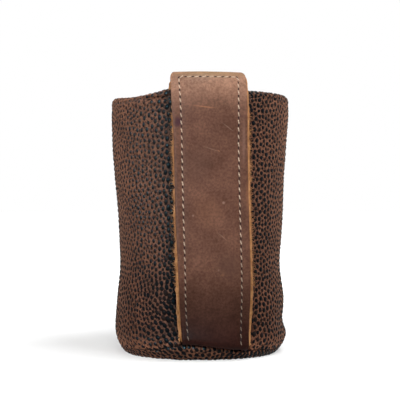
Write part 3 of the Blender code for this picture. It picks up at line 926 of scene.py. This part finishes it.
rounder = stored(planting, "pebble_round", "FLOAT")
wide = map_range(planting, rounder, 0.0, 1.0, 1.0, WIDER)
short = map_range(planting, rounder, 0.0, 1.0, 1.0, SHORTER)
longer = random_number(planting, 0.85, 1.15, given["Seed"])
stretch = maths(planting, "MULTIPLY", given["Length"], longer)
shape = combine(planting, maths(planting, "MULTIPLY", given["Width"], wide),
                maths(planting, "MULTIPLY", stretch, short), given["Height"])
scaled = add(planting, "ShaderNodeVectorMath", {
    0: shape, "Scale": stored(planting, "pebble_size", "FLOAT"),
}, operation="SCALE").outputs[0]

# %% Pebble domes
TONE_SEED = 11
ball = add(planting, "GeometryNodeMeshUVSphere", {"Segments": 8, "Rings": 4, "Radius": 0.5})
where = add(planting, "GeometryNodeInputPosition").outputs[0]
lower_half = maths(planting, "LESS_THAN", split(planting, where)["Z"], 0.0)
dome = add(planting, "GeometryNodeDeleteGeometry", {"Geometry": ball.outputs[0],
                                                    "Selection": lower_half}, domain="FACE")
copies = copies_of(planting, dome.outputs[0], given["Geometry"], turned, scaled)
marked = add(planting, "GeometryNodeStoreNamedAttribute", {
    "Geometry": copies, "Name": "tone", "Value": random_number(planting, 0.0, 1.0, TONE_SEED),
}, data_type="FLOAT", domain="INSTANCE")
end_tree(planting, marked.outputs[0], given["Material"], result)

# %% Pebble material
# Near-black with a hint of blue, glossy like wax at the front and matt round the sides and back.
# Each dome has its own tone, and some are browner.
glossy, tree, shader, place = new_material("pebble_gloss")
PEBBLE_BLACK = (0.002, 0.003, 0.004)
PEBBLE_MID = (0.004, 0.0045, 0.005)
PEBBLE_BROWN = (0.016, 0.009, 0.007)
GLINT = (0.62, 0.85, 1.0)
DULL = (0.08, 0.1, 0.12)
tone = add(tree, "ShaderNodeAttribute", attribute_name="tone").outputs["Fac"]
colour = ramp(tree, tone, ((0.0, PEBBLE_BLACK), (0.7, PEBBLE_MID), (1.0, PEBBLE_BROWN)))
xyz = split(tree, place)
rough = maths(tree, "ADD", map_range(tree, noise_at(tree, place, 1400.0), 0.2, 0.8, 0.14, 0.2),
              map_range(tree, xyz["Y"], -30 * MM, -12 * MM, 0.0, 0.4))
gloss = ramp(tree, map_range(tree, xyz["Z"], 0.0, 80 * MM), (
    (0.08, GLINT), (0.14, DULL), (0.4, DULL), (0.8, GLINT),
))
fill(tree, shader, {"Base Color": colour, "Roughness": rough, "Specular Tint": gloss,
                    "IOR": 1.12})

# %% Pebbles of the wall
PEBBLE = {"Width": 1.45 * MM, "Length": 1.95 * MM, "Height": 0.55 * MM, "Seed": 21,
          "Material": glossy}
TUBE_RADIUS = 39 * MM
FIRST_ROW = 1.0 * MM
WALL_SEED, BASE_SEED = 4, 5
rows, lengths = outline_rows(grain_line)
spots = points_on_tube(TUBE_RADIUS, lengths[-1] - FIRST_ROW, random.Random(WALL_SEED))
bed = pebble_bed(rows, lengths, FIRST_ROW, spots)
wall_pebbles, = grow(bed, planting, wall_pebbles=PEBBLE)


# %% [markdown]
# ## Base
# The base is a disc of the same leather whose edge is rolled up to meet the wall in a turned seam.
# It is the same kind of ring, closed at the middle.


# %% Base panel
SOLE = 0.25 * MM


def base_line(theta):
    """From near the axis out along the flat underside and up over the roll to the crease."""
    edge = seam_height(theta) - CLEARANCE / 2
    roll = base_roll(theta)
    rolled = wall_radius(theta, edge - roll) + loose(theta, edge - roll) - SKIN
    flat = wall_radius(theta, 0) + loose(theta, 0) - SKIN
    points = [(flat * share, SOLE) for share in steps(0.04, 1.0, 24)]
    for z in steps(SOLE, edge - roll, 5)[1:-1]:
        points.append((wall_radius(theta, z) + loose(theta, z) - SKIN, z))
    for a in steps(0, math.pi / 2, 6):
        z = edge - roll * (1 - math.sin(a))
        points.append((rolled - roll * (1 - math.cos(a)), z))
    points.append((seam_end_radius(theta), edge))
    return points


def base_inside_line(theta):
    """Back from the turned edge along the dished inside to near the axis."""
    edge = seam_height(theta) - CLEARANCE / 2
    end = seam_end_radius(theta)
    flat = wall_radius(theta, 0)
    points = [(end, edge - LEATHER)]
    for z in steps(edge - LEATHER, LEATHER, 5):
        drop = min((CORNER_HEIGHT - z) / (CORNER_HEIGHT - LEATHER), 1.0)
        points.append((flat + (CORNER_INSET - LEATHER) * (1 - drop**CORNER_POWER), z))
    return points + [(flat * share, LEATHER) for share in (0.7, 0.4, 0.04)]


def disc(name, line, material):
    """A ring whose outline starts and ends near the axis, closed there by two small caps."""
    mesh = grid_mesh(name, loft(line), True, False)
    return new_object(name, finish_mesh(mesh, capped=True), material)


base = disc("base_leather", lambda theta: base_line(theta) + base_inside_line(theta), ground)
rows, lengths = outline_rows(base_line)
middle = rows[0][0].length
spots = points_on_disc(lengths[-1] + middle, random.Random(BASE_SEED))
spots = [(angle, travel - middle, size) for angle, travel, size in spots if travel > middle]
bed = pebble_bed(rows, lengths, 0.0, spots)
base_pebbles, = grow(bed, planting, base_pebbles={**PEBBLE, "Height": 0.5 * MM})

# %% [markdown]
# ## Foam
# Inside is a tube of foam faced with a knit, like a wetsuit, and a disc of the same foam at the
# bottom. Only their tops show. The knit is two crossed waves, fine enough to read as cloth.

# %% Foam material
knit, tree, shader, place = new_material("knit_faced_foam")
KNIT_PITCH = 1.1 * MM
KNIT_SCALE = 0.314 / KNIT_PITCH
columns = add(tree, "ShaderNodeTexWave", {"Vector": place, "Scale": KNIT_SCALE,
                                          "Distortion": 1.5, "Detail": 1.0},
              wave_type="BANDS", bands_direction="DIAGONAL")
courses = add(tree, "ShaderNodeTexWave", {"Vector": place, "Scale": KNIT_SCALE},
              wave_type="BANDS", bands_direction="Z")
loops = maths(tree, "MULTIPLY", columns.outputs["Fac"], courses.outputs["Fac"])
colour = ramp(tree, loops, ((0.0, (0.014, 0.014, 0.016)), (1.0, (0.045, 0.045, 0.05))))
fill(tree, shader, {
    "Base Color": colour, "Normal": bump_from(tree, loops, 0.6, 0.2 * MM), "Roughness": 0.9,
    "Specular IOR Level": 0.1, "Sheen Weight": 0.3,
})


# %% Foam tube and pad
def foam_line(theta):
    """The tube follows the wall above the waist, stays straight below it, and has soft ends."""
    foot = LEATHER + PAD + 2 * CLEARANCE
    top = FOLD_START - CLEARANCE / 2
    soft = 0.5 * MM

    def outer(z):
        return wall_radius(theta, max(z, WAIST_HEIGHT)) - LEATHER - CLEARANCE

    levels = steps(foot + soft, top - soft, 40)
    points = [(outer(z), z) for z in levels]
    points += [(outer(top) - soft, top), (outer(top) - FOAM + soft, top)]
    points += [(outer(z) - FOAM, z) for z in reversed(levels)]
    return points + [(outer(foot) - FOAM + soft, foot), (outer(foot) - soft, foot)]


def pad_line(theta):
    low = LEATHER + CLEARANCE
    top = low + PAD
    low_radius = wall_radius(theta, 0) - CLEARANCE
    top_radius = wall_radius(theta, WAIST_HEIGHT) - LEATHER - CLEARANCE
    soft = 0.4 * MM
    bottom = [(low_radius * share, low) for share in (0.04, 0.5, 1.0)]
    edge = [(top_radius, top - soft), (top_radius - soft, top)]
    return bottom + edge + [(low_radius * share, top) for share in (0.7, 0.4, 0.04)]


foam_tube = ring("foam_tube", foam_line, knit)
foam_pad = disc("foam_pad", pad_line, knit)
print("foam:", len(foam_tube.data.polygons) + len(foam_pad.data.polygons), "faces")

# %% [markdown]
# ## Strap
# The strap is two layers of smooth leather sewn together. Its route is drawn in side view: out of
# the base seam, away from the wall, straight up, over the crown and down into the mouth. Each
# point of the route also says how far the strap is bent round with the wall there.


# %% Route of the strap
def strap_route():
    """Mid-line as (reach, height, wrap, share of the base seam's slope)."""
    edge = wall_edge_height(0)
    rolled = wall_radius(0, edge + ROLL)
    bend = ROLL + CLEARANCE + STRAP / 2
    low = edge + ROLL
    route = [(seam_end_radius(0) + CLEARANCE, low - bend, 1.0, 1.0)]
    for a in steps(0, math.pi / 2, 8):
        reach = rolled - ROLL + bend * math.sin(a)
        route.append((reach, low - bend * math.cos(a), 1.0, 1.0))
    start, end = rolled - ROLL + bend, STRAP_REACH
    lift = LOWER_CURVE * 0.45
    heights = (low, low + lift * 0.8, low + LOWER_CURVE - lift, low + LOWER_CURVE)
    for t in steps(0, 1, 28)[1:]:
        weights = ((1 - t) ** 3, 3 * t * (1 - t) ** 2, 3 * t * t * (1 - t), t**3)
        reach = start * (weights[0] + weights[1]) + end * (weights[2] + weights[3])
        z = sum(w * h for w, h in zip(weights, heights))
        ease = smooth(t * 1.4)
        route.append((reach, z, 1 + (FREE_WRAP - 1) * ease, 1 - ease))
    crown_start = STRAP_TOP - CROWN_LENGTH
    for z in steps(heights[-1], crown_start, 32)[1:]:
        route.append((STRAP_REACH, z, FREE_WRAP, 0.0))
    for share in steps(0, 1, 24)[1:]:
        a = share * math.pi / 2
        reach = CROWN_REACH + (STRAP_REACH - CROWN_REACH) * math.cos(a)
        wrap = FREE_WRAP + (1 - FREE_WRAP) * smooth(share * 1.3)
        route.append((reach, crown_start + CROWN_LENGTH * math.sin(a), wrap, 0.0))
    pocket = wall_radius(0, FOLD_START) - LEATHER - CLEARANCE - STRAP / 2
    for a in steps(0, math.pi / 2, 12)[1:]:
        reach = CROWN_REACH - (CROWN_REACH - pocket) * math.sin(a)
        route.append((reach, FOLD_START + (STRAP_TOP - FOLD_START) * math.cos(a), 1.0, 0.0))
    lean = wall_radius(0, FOLD_START) - wall_radius(0, FOLD_START - TUCK_DEPTH)
    for share in steps(0, 1, 3)[1:]:
        route.append((pocket - lean * share, FOLD_START - TUCK_DEPTH * share, 1.0, 0.0))
    return route


ROUTE = strap_route()
CROWN = max(range(len(ROUTE)), key=lambda i: ROUTE[i][1])
print("route of the strap:", len(ROUTE), "points, crown at", CROWN)


# %% Points on the strap
def strap_surface(x, entry):
    """The point of the strap's mid-surface that lies x across it, at one entry of its route."""
    reach, z, wrap, seam_share = entry
    theta = x / reach
    radius = reach + wall_radius(theta, z) - wall_radius(0, z)
    wrapped = Vector((radius * math.sin(theta), -radius * math.cos(theta), z))
    point = Vector((x, -reach, z)).lerp(wrapped, wrap)
    point.z += seam_share * (wall_edge_height(theta) - wall_edge_height(0))
    return point


def route_at(place):
    """The route's entry at a place that may lie between two of its points."""
    place = min(max(place, 0), len(ROUTE) - 1)
    low = min(int(place), len(ROUTE) - 2)
    share = place - low
    return tuple(a + (b - a) * share for a, b in zip(ROUTE[low], ROUTE[low + 1]))


def strap_frame(x, place):
    """A point of the strap's mid-surface with the directions along it and out of it."""
    step = 0.5 * MM
    here = route_at(place)
    along = strap_surface(x, route_at(place + 1)) - strap_surface(x, route_at(place - 1))
    across = strap_surface(x + step, here) - strap_surface(x - step, here)
    return strap_surface(x, here), along.normalized(), across.cross(along).normalized()


# %% [markdown]
# ## Layers of the strap
# The face layer is cut narrower than the backing, so the backing's raw edge shows at both sides,
# most near the foot. Both have softly rounded edges, and the face sinks along its stitch rows.

# %% Margins and stitch rows
CORNER_ROUND = 1.3 * MM
CORNER_REACH = 4.0
FOOT_FULLNESS = 0.7 * MM
SEAM_TUCK = 1.2 * MM
TORN_LEFT = 1.1 * MM
WORN_RIGHT = 0.5 * MM
TOP_MARGIN = 0.45 * MM
FOOT_MARGIN = 0.75 * MM
RIGHT_MARGIN = 1.1 * MM
EDGE_ROUND = 0.4 * MM
ROW_SINK = 0.22 * MM
ROW_HALF_WIDTH = 1.1 * MM


def backing_edges(place):
    """Edges of the backing at a place of the route, drawn in at the crown's corners."""
    z = route_at(place)[1]
    left, right = strap_edges(z)
    drawn = CORNER_ROUND * bell(place - CROWN, CORNER_REACH)
    fuller = FOOT_FULLNESS * smooth((46 * MM - z) / (26 * MM)) if place <= CROWN else 0.0
    hidden = SEAM_TUCK * smooth((7 - place) / 3)
    torn = TORN_LEFT * noise.noise(Vector((place * 1.7, 0.0, 0.0)))
    worn = WORN_RIGHT * noise.noise(Vector((place * 1.3, 9.0, 0.0)))
    return left + drawn + torn + hidden, right - drawn + fuller + worn - hidden


def face_edges(place):
    z = route_at(place)[1]
    left, right = strap_edges(z)
    drawn = CORNER_ROUND * bell(place - CROWN, CORNER_REACH)
    left_margin = TOP_MARGIN * smooth((116 * MM - z) / (20 * MM))
    left_margin += FOOT_MARGIN * smooth((64 * MM - z) / (40 * MM))
    return left + drawn + left_margin, right - drawn - RIGHT_MARGIN


def row_x(place, side):
    """Where a stitch row runs: side -1 is the left one, 1 the right one."""
    left, right = strap_edges(route_at(place)[1])
    return left + LEFT_ROW_INSET if side < 0 else right - RIGHT_ROW_INSET


def cross_place():
    """The place below the crown where the two rows are joined."""
    target = STRAP_TOP - CROSS_ROW_DROP
    low = max(i for i in range(CROWN) if ROUTE[i][1] <= target)
    return low + (target - ROUTE[low][1]) / (ROUTE[low + 1][1] - ROUTE[low][1])


CROSS = cross_place()


def row_sink(x, place):
    """How far the leather is pulled in by the thread."""
    if place > CROSS + 2:
        return 0.0
    sink = 0.0
    for side in (-1, 1):
        sink = max(sink, bell(x - row_x(place, side), ROW_HALF_WIDTH))
    if row_x(place, -1) < x < row_x(place, 1):
        along = (place - CROSS) * (strap_surface(x, route_at(CROSS + 1))
                                   - strap_surface(x, route_at(CROSS))).length
        sink = max(sink, bell(along, ROW_HALF_WIDTH))
    return ROW_SINK * sink


# %% Unevenness and tone of the strap
def ripple(point, lift):
    """The strap is a little uneven on its outer side."""
    return 0.12 * MM * noise.noise(point / (9 * MM)) if lift > 0 else 0.0


def strap_tone_and_light(place):
    """1 where the leather is stretched pale over the crown, 0 at mid height, -1 at the foot. The
    pale crown is partly painted light from above and the dark foot partly painted shade.
    """
    z = route_at(place)[1]
    if place > CROWN:
        return 0.9
    return smooth((z - 106 * MM) / (17 * MM)) - smooth((46 * MM - z) / (40 * MM))


# %% Layer mesh
COLUMNS = 48
EDGE_INSET = EDGE_ROUND * 0.4


def layer_section(place, left, right, inner, outer, sinks):
    """A cut across one layer: its outer side, an edge, its inner side and the other edge."""
    points = []
    for x in steps(left + EDGE_INSET, right - EDGE_INSET, COLUMNS):
        away = min(x - left, right - x)
        fall = EDGE_ROUND * (1 - math.sqrt(1 - max(1 - away / EDGE_ROUND, 0.0) ** 2))
        points.append((x, outer - fall - (row_sink(x, place) if sinks else 0.0)))
    low, high = inner + EDGE_ROUND * 0.5, outer - EDGE_ROUND * 1.1
    inside = [(x, inner) for x in steps(right - EDGE_INSET, left + EDGE_INSET, 12)]
    return points + [(right, high), (right, low)] + inside + [(left, low), (left, high)]


def layer(name, edges, inner, outer, sinks, material):
    """One layer of the strap as a closed band that knows its tone at each point, painted light and
    shade included.
    """
    rows = []
    tones = []
    for place in range(len(ROUTE)):
        row = []
        for x, lift in layer_section(place, *edges(place), inner, outer, sinks):
            point, along, out = strap_frame(x, place)
            row.append(point + out * (lift + ripple(point, lift)))
        rows.append(row)
        tones += [strap_tone_and_light(place)] * len(row)
    mesh = grid_mesh(name, rows, False, True)
    note(mesh, "tone", "FLOAT", tones)
    return new_object(name, finish_mesh(mesh, sharp=60, capped=True), material)


# %% [markdown]
# ## Smooth leather
# Waxed leather turns paler where it is bent and darker where hands and the table rub it. The tone
# along the strap is an attribute of the mesh; it also carries painted light on the upturned crown
# and painted shade towards the foot, which faces down. Noise of two sizes and a fine grain make the
# cloudy, slightly scuffed surface, and a few marks are put where the real strap has them; the olive
# band over the crown is partly painted light and shade.

# %% Strap material
# The ramp runs from the dark foot, partly painted shade, to the pale crown, partly painted light.
STRAP_DARK_AND_SHADED = (0.025, 0.008, 0.006)
STRAP_MID = (0.13, 0.06, 0.04)
STRAP_PALE_AND_LIT = (0.27, 0.145, 0.096)

waxed, tree, shader, place = new_material("smooth_pull_up_leather")
tone = add(tree, "ShaderNodeAttribute", attribute_name="tone").outputs["Fac"]
colour = ramp(tree, map_range(tree, tone, -1.0, 1.0), (
    (0.0, STRAP_DARK_AND_SHADED), (0.5, STRAP_MID), (1.0, STRAP_PALE_AND_LIT),
))
cloud = noise_at(tree, place, 85.0, 4.0, 0.6)
pores = noise_at(tree, place, 950.0, 3.0, 0.65)
for value, low, high in (
    (cloud, (0.3, (0.76, 0.74, 0.73)), (0.7, (1.21, 1.21, 1.21))),
    (pores, (0.35, (0.74, 0.73, 0.73)), (0.65, (1.2, 1.2, 1.19))),
):
    colour = tinted(tree, colour, ramp(tree, value, (low, high)))


# %% Marks on the strap
def mark(tree, place, colour, centre, radii, turn, tint, strength):
    """A soft oval patch of another colour, turned in the plane of the strap's face."""
    local = add(tree, "ShaderNodeVectorMath", {0: place, 1: centre}, operation="SUBTRACT")
    level = add(tree, "ShaderNodeVectorRotate", {"Vector": local.outputs[0], "Angle": turn},
                rotation_type="Y_AXIS")
    scaled = add(tree, "ShaderNodeVectorMath", {0: level.outputs[0], 1: radii}, operation="DIVIDE")
    length = add(tree, "ShaderNodeVectorMath", {0: scaled.outputs[0]}, operation="LENGTH")
    share = map_range(tree, length.outputs["Value"], 0.2, 1.0, strength, 0.0,
                      interpolation_type="SMOOTHSTEP")
    return blend_colour(tree, share, colour, (*tint, 1.0))


FACE_REACH = -48.5 * MM
MARK_DEPTH = 20 * MM
PURPLE = (0.05, 0.018, 0.028)
ORANGE = (0.34, 0.15, 0.075)
PINK = (0.34, 0.21, 0.16)
DUSK = (0.1, 0.05, 0.036)
OLIVE_AND_LIGHT = (0.27, 0.165, 0.085)
# Each mark, in millimetres: x and z of its middle, half width, half height, turn, tint, strength.
for x, z, width, height, degrees, tint, strength in (
    (-15.0, 104.5, 2.4, 3.4, 0, PURPLE, 0.85),
    (-3.6, 111.2, 6.5, 0.5, -7, ORANGE, 0.6),
    (6.5, 102.5, 4.0, 0.28, -37, PINK, 0.35),
    (-0.8, 93.0, 5.0, 0.3, -18, PINK, 0.3),
    (2.5, 92.2, 0.9, 0.3, -35, ORANGE, 0.7),
    (4.0, 55.3, 3.4, 0.3, -40, PINK, 0.3),
    (4.6, 69.8, 0.9, 0.9, 0, PINK, 0.55),
    (-8.6, 64.2, 0.7, 0.7, 0, PINK, 0.45),
    (2.6, 40.6, 0.6, 0.8, 0, PINK, 0.4),
    (4.4, 38.6, 1.3, 0.8, 30, ORANGE, 0.35),
    (16.2, 73.0, 2.6, 10.0, 0, ORANGE, 0.4),
    (13.5, 96.0, 1.0, 14.0, 0, PINK, 0.22),
    (-2.0, 66.0, 9.0, 12.0, 20, ORANGE, 0.1),
    (-6.0, 86.0, 8.0, 12.0, 0, DUSK, 0.3),
    # The olive band over the crown: partly the colour of the bent leather, partly painted light and
    # shade of the bend.
    (0.0, 127.3, 34.0, 4.4, 0, OLIVE_AND_LIGHT, 0.85),
    (7.0, 42.0, 8.0, 9.0, 0, DUSK, 0.45),
):
    colour = mark(tree, place, colour, (x * MM, FACE_REACH, z * MM),
                  (width * MM, MARK_DEPTH, height * MM), degrees * DEG, tint, strength)

grain = add(tree, "ShaderNodeTexVoronoi", {"Vector": place, "Scale": 1300.0},
            feature="SMOOTH_F1")
relief = maths(tree, "ADD", grain.outputs["Distance"], pores)
fill(tree, shader, {
    "Base Color": colour, "Normal": bump_from(tree, relief, 0.25, 0.12 * MM),
    "Roughness": map_range(tree, cloud, 0.3, 0.7, 0.44, 0.6), "Specular IOR Level": 0.02,
})

# %% Raw leather material
# The cut edge and the flesh side are tan and fibrous: streaks of noise stretched along the strap.
raw, tree, shader, place = new_material("raw_leather")
stretched = add(tree, "ShaderNodeMapping", {"Vector": place, "Scale": (900.0, 900.0, 260.0)})
streaks = noise_at(tree, stretched.outputs[0], 1.0, 4.0, 0.7)
colour = ramp(tree, streaks, ((0.3, (0.21, 0.088, 0.03)), (0.5, (0.4, 0.185, 0.07)),
                              (0.7, (0.6, 0.31, 0.135))))
fill(tree, shader, {
    "Base Color": colour, "Normal": bump_from(tree, streaks, 0.7, 0.25 * MM), "Roughness": 0.9,
    "Specular IOR Level": 0.02, "Sheen Weight": 0.12,
})

# %% Strap layers
FACE_INSIDE = STRAP_LAYER_GAP / 2
FACE_OUTSIDE = FACE_INSIDE + STRAP_LAYER
strap_face = layer("strap_face_leather", face_edges, FACE_INSIDE, FACE_OUTSIDE, True, waxed)
strap_backing = layer("strap_backing_leather", backing_edges, -FACE_OUTSIDE, -FACE_INSIDE, False,
                      raw)
print("strap:", len(strap_face.data.polygons) + len(strap_backing.data.polygons), "faces")

# %% [markdown]
# ## Stitches
# A lockstitch shows as short slanted threads with a dark needle hole between each two. A row is a
# line of points that knows which way is out. Geometry Nodes resamples it at the stitch pitch and
# places one stitch, or one hole, on each point.


# %% Rows of points
def row_mesh(frames):
    """A line through the points of (point, out) pairs, with the outward direction on each."""
    mesh = bpy.data.meshes.new("row")
    edges = [(i, i + 1) for i in range(len(frames) - 1)]
    mesh.from_pydata([point for point, out in frames], edges, [])
    note(mesh, "outward", "FLOAT_VECTOR", [v for point, out in frames for v in out])
    return mesh


def strap_row(first, lift):
    """Up the left row, across below the crown, and down the right row."""
    places = [first + (CROSS - first) * t for t in steps(0, 1, 90)]
    chain = [(row_x(place, -1), place) for place in places]
    left, right = chain[-1][0], row_x(CROSS, 1)
    chain += [(x, CROSS) for x in steps(left, right, 24)[1:-1]]
    chain += [(row_x(place, 1), place) for place in reversed(places)]
    frames = []
    for x, place in chain:
        point, along, out = strap_frame(x, place)
        raised = lift + ripple(point, lift)
        frames.append((point + out * raised, out if lift > 0 else -out))
    return frames


# %% Stitch tree
def spaced_along(tree, curve, spacing):
    return add(tree, "GeometryNodeResampleCurve", {"Curve": curve, "Length": spacing},
               mode="LENGTH").outputs[0]


sewing, given, result = new_tree("stitch_row", "Pitch", "Width", "Length", "Height", "Slant",
                                 "Start", "Material")
line = add(sewing, "GeometryNodeMeshToCurve", {0: given["Geometry"]}).outputs[0]
whole = add(sewing, "GeometryNodeCurveLength", {0: line}).outputs[0]
end = maths(sewing, "SUBTRACT", whole, given["Start"])
trimmed = add(sewing, "GeometryNodeTrimCurve", {"Curve": line, 4: given["Start"], 5: end},
              mode="LENGTH").outputs[0]
points = spaced_along(sewing, trimmed, given["Pitch"])
tangent = add(sewing, "GeometryNodeInputTangent").outputs[0]
along = turned_along(sewing, facing_out(sewing), tangent)
slanted = add(sewing, "FunctionNodeRotateRotation", {
    "Rotation": along, "Rotate By": combine(sewing, 0.0, 0.0, given["Slant"]),
}, rotation_space="LOCAL").outputs[0]
body = add(sewing, "GeometryNodeMeshUVSphere", {"Segments": 10, "Rings": 8, "Radius": 0.5})
size = combine(sewing, given["Width"], given["Length"], given["Height"])
copies = copies_of(sewing, body.outputs[0], points, slanted, size)
end_tree(sewing, copies, given["Material"], result)


# %% Thread materials
def thread_material(name, dark, light):
    """Twisted thread: fine slanted bands between two close colours, darker towards the foot."""
    material, tree, shader, place = new_material(name)
    twist = add(tree, "ShaderNodeTexWave", {"Vector": place, "Scale": 900.0, "Distortion": 1.0},
                bands_direction="DIAGONAL").outputs["Fac"]
    colour = ramp(tree, twist, ((0.0, dark), (1.0, light)))
    darker_towards_foot = ramp(tree, map_range(tree, split(tree, place)["Z"], 0.0, 60 * MM), (
        (0.2, (0.3, 0.26, 0.24)), (1.0, (1.0, 1.0, 1.0)),
    ))
    fill(tree, shader, {
        "Base Color": tinted(tree, colour, darker_towards_foot), "Normal": bump_from(tree, twist, 0.5, 0.08 * MM),
        "Roughness": 0.75, "Specular IOR Level": 0.2,
    })
    return material


pale_thread = thread_material("pale_thread", (0.33, 0.225, 0.15), (0.62, 0.47, 0.34))
brown_thread = thread_material("brown_thread", (0.04, 0.022, 0.017), (0.11, 0.06, 0.045))
needle_hole, tree, shader, place = new_material("needle_hole")
colour = ramp(tree, noise_at(tree, place, 1500.0), ((0.3, (0.008, 0.003, 0.003)),
                                                    (0.7, (0.03, 0.012, 0.01))))
fill(tree, shader, {"Base Color": colour, "Roughness": 0.9, "Specular IOR Level": 0.1})

# %% Stitches of the strap
# The rows start where the strap leaves the base seam, counted in points of its route.
FACE_ROW_START = 9
BACK_ROW_START = 22
PITCH = 3.25 * MM
SLANT = 16 * DEG
STITCH = {"Pitch": PITCH, "Width": 0.5 * MM, "Length": 2.1 * MM, "Height": 0.5 * MM,
          "Slant": SLANT, "Start": 0.0, "Material": pale_thread}
HOLE = {"Pitch": PITCH, "Width": 0.62 * MM, "Length": 1.4 * MM, "Height": 0.2 * MM,
        "Slant": SLANT, "Start": PITCH / 2, "Material": needle_hole}

row = row_mesh(strap_row(FACE_ROW_START, FACE_OUTSIDE - ROW_SINK))
stitches, holes = grow(row, sewing, strap_stitches=STITCH, strap_needle_holes=HOLE)
row = row_mesh(strap_row(BACK_ROW_START, -FACE_OUTSIDE))
under_stitches, under_holes = grow(row, sewing, strap_under_stitches={**STITCH, "Height": 0.4 * MM},
                                   strap_under_holes=HOLE)


# %% Stitches of the mouth
def rim_row(inside):
    frames = []
    for theta in ANGLES:
        if abs(turn_between(theta, 0)) < 1 * DEG:
            continue
        z = groove_height(theta)
        radius = wall_radius(theta, z) + wall_relief(theta, z) - groove(theta, z)
        if inside:
            radius = wall_radius(theta, z) - MOUTH_THICKNESS
        out = Vector((math.sin(theta), -math.cos(theta), 0.0))
        frames.append((around(theta, radius, z), -out if inside else out))
    return frames


RIM_STITCH = {"Pitch": 3.0 * MM, "Width": 0.5 * MM, "Length": 2.0 * MM, "Height": 0.5 * MM,
              "Slant": 0.2, "Start": 0.0, "Material": brown_thread}
rim_stitches, = grow(row_mesh(rim_row(False)), sewing, rim_stitches=RIM_STITCH)
rim_under_stitches, = grow(row_mesh(rim_row(True)), sewing, rim_under_stitches=RIM_STITCH)

# %% [markdown]
# ## Loose fibres
# A raw leather edge sheds fine fibres. They are thin cones, set along the edge with a random turn
# and length, which is the same idea as the stitches with a Random Value in place of the slant.

# %% Fibre tree
LENGTH_SEED = 5
shedding, given, result = new_tree("edge_fibres", "Spacing", "Length", "Radius", "Seed",
                                   "Material")
line = add(shedding, "GeometryNodeMeshToCurve", {0: given["Geometry"]}).outputs[0]
turns = add(shedding, "FunctionNodeRandomValue", {
    0: (-1.1, -1.1, -3.0), 1: (1.1, 1.1, 3.0), 8: given["Seed"],
}, data_type="FLOAT_VECTOR").outputs[0]
thrown = add(shedding, "FunctionNodeRotateRotation", {
    "Rotation": facing_out(shedding), "Rotate By": turns,
}, rotation_space="LOCAL").outputs[0]
hair = add(shedding, "GeometryNodeMeshCone", {
    "Vertices": 3, "Radius Top": 0.0, "Radius Bottom": given["Radius"], "Depth": given["Length"],
}, fill_type="NGON").outputs[0]
longer = maths(shedding, "POWER", random_number(shedding, 0.25, 1.0, LENGTH_SEED), 2.0)
copies = copies_of(shedding, hair, spaced_along(shedding, line, given["Spacing"]), thrown,
                   combine(shedding, 1.0, 1.0, longer))
end_tree(shedding, copies, given["Material"], result, rounded=False)


# %% Fibres of both edges
FIRST_FIBRE = 26
LAST_FIBRE = CROWN - 20


def edge_row(side):
    frames = []
    for place in range(FIRST_FIBRE, LAST_FIBRE):
        left, right = backing_edges(place)
        point, along, out = strap_frame(left if side < 0 else right, place)
        across = along.cross(out) * side
        frames.append((point - out * STRAP_LAYER * 0.5, (across + out * 0.4).normalized()))
    return row_mesh(frames)


FIBRE = {"Spacing": 0.18 * MM, "Length": 2.6 * MM, "Radius": 0.13 * MM, "Material": raw}
left_fibres, = grow(edge_row(-1), shedding, left_edge_fibres={**FIBRE, "Seed": 1})
right_fibres, = grow(edge_row(1), shedding, right_edge_fibres={**FIBRE, "Seed": 3})

# %% [markdown]
# ## Joining the look to the solids
# Each finished piece rides on the one rigid body, and where it stands for a plain solid it replaces
# it.

# %% Riding and replacing
for piece, slot, node in (
    (wall, "pebbled_leather", "outer_shell"),
    (wall_pebbles, "pebbled_leather", None),
    (base, "pebbled_leather", "base_panel"),
    (base_pebbles, "pebbled_leather", None),
    (foam_tube, "foam", "foam_liner"),
    (foam_pad, "foam", "foam_base_pad"),
    (strap_face, "smooth_leather", "strap_face"),
    (strap_backing, "raw_leather", "strap_backing"),
    (stitches, "pale_thread", "strap_thread"),
    (holes, "smooth_leather", None),
    (under_stitches, "pale_thread", "strap_bobbin_thread"),
    (under_holes, "raw_leather", None),
    (rim_stitches, "brown_thread", "rim_thread"),
    (rim_under_stitches, "brown_thread", "rim_bobbin_thread"),
    (left_fibres, "raw_leather", None),
    (right_fibres, "raw_leather", None),
):
    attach(piece, "root")
    if node:
        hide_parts(node)

# %% Sizes
boxes = {"cad": [list(corner) for corner in cad_box],
         "visual": [list(corner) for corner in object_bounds()]}
print("visual box in mm:", [[round(v / MM, 1) for v in corner] for corner in boxes["visual"]])
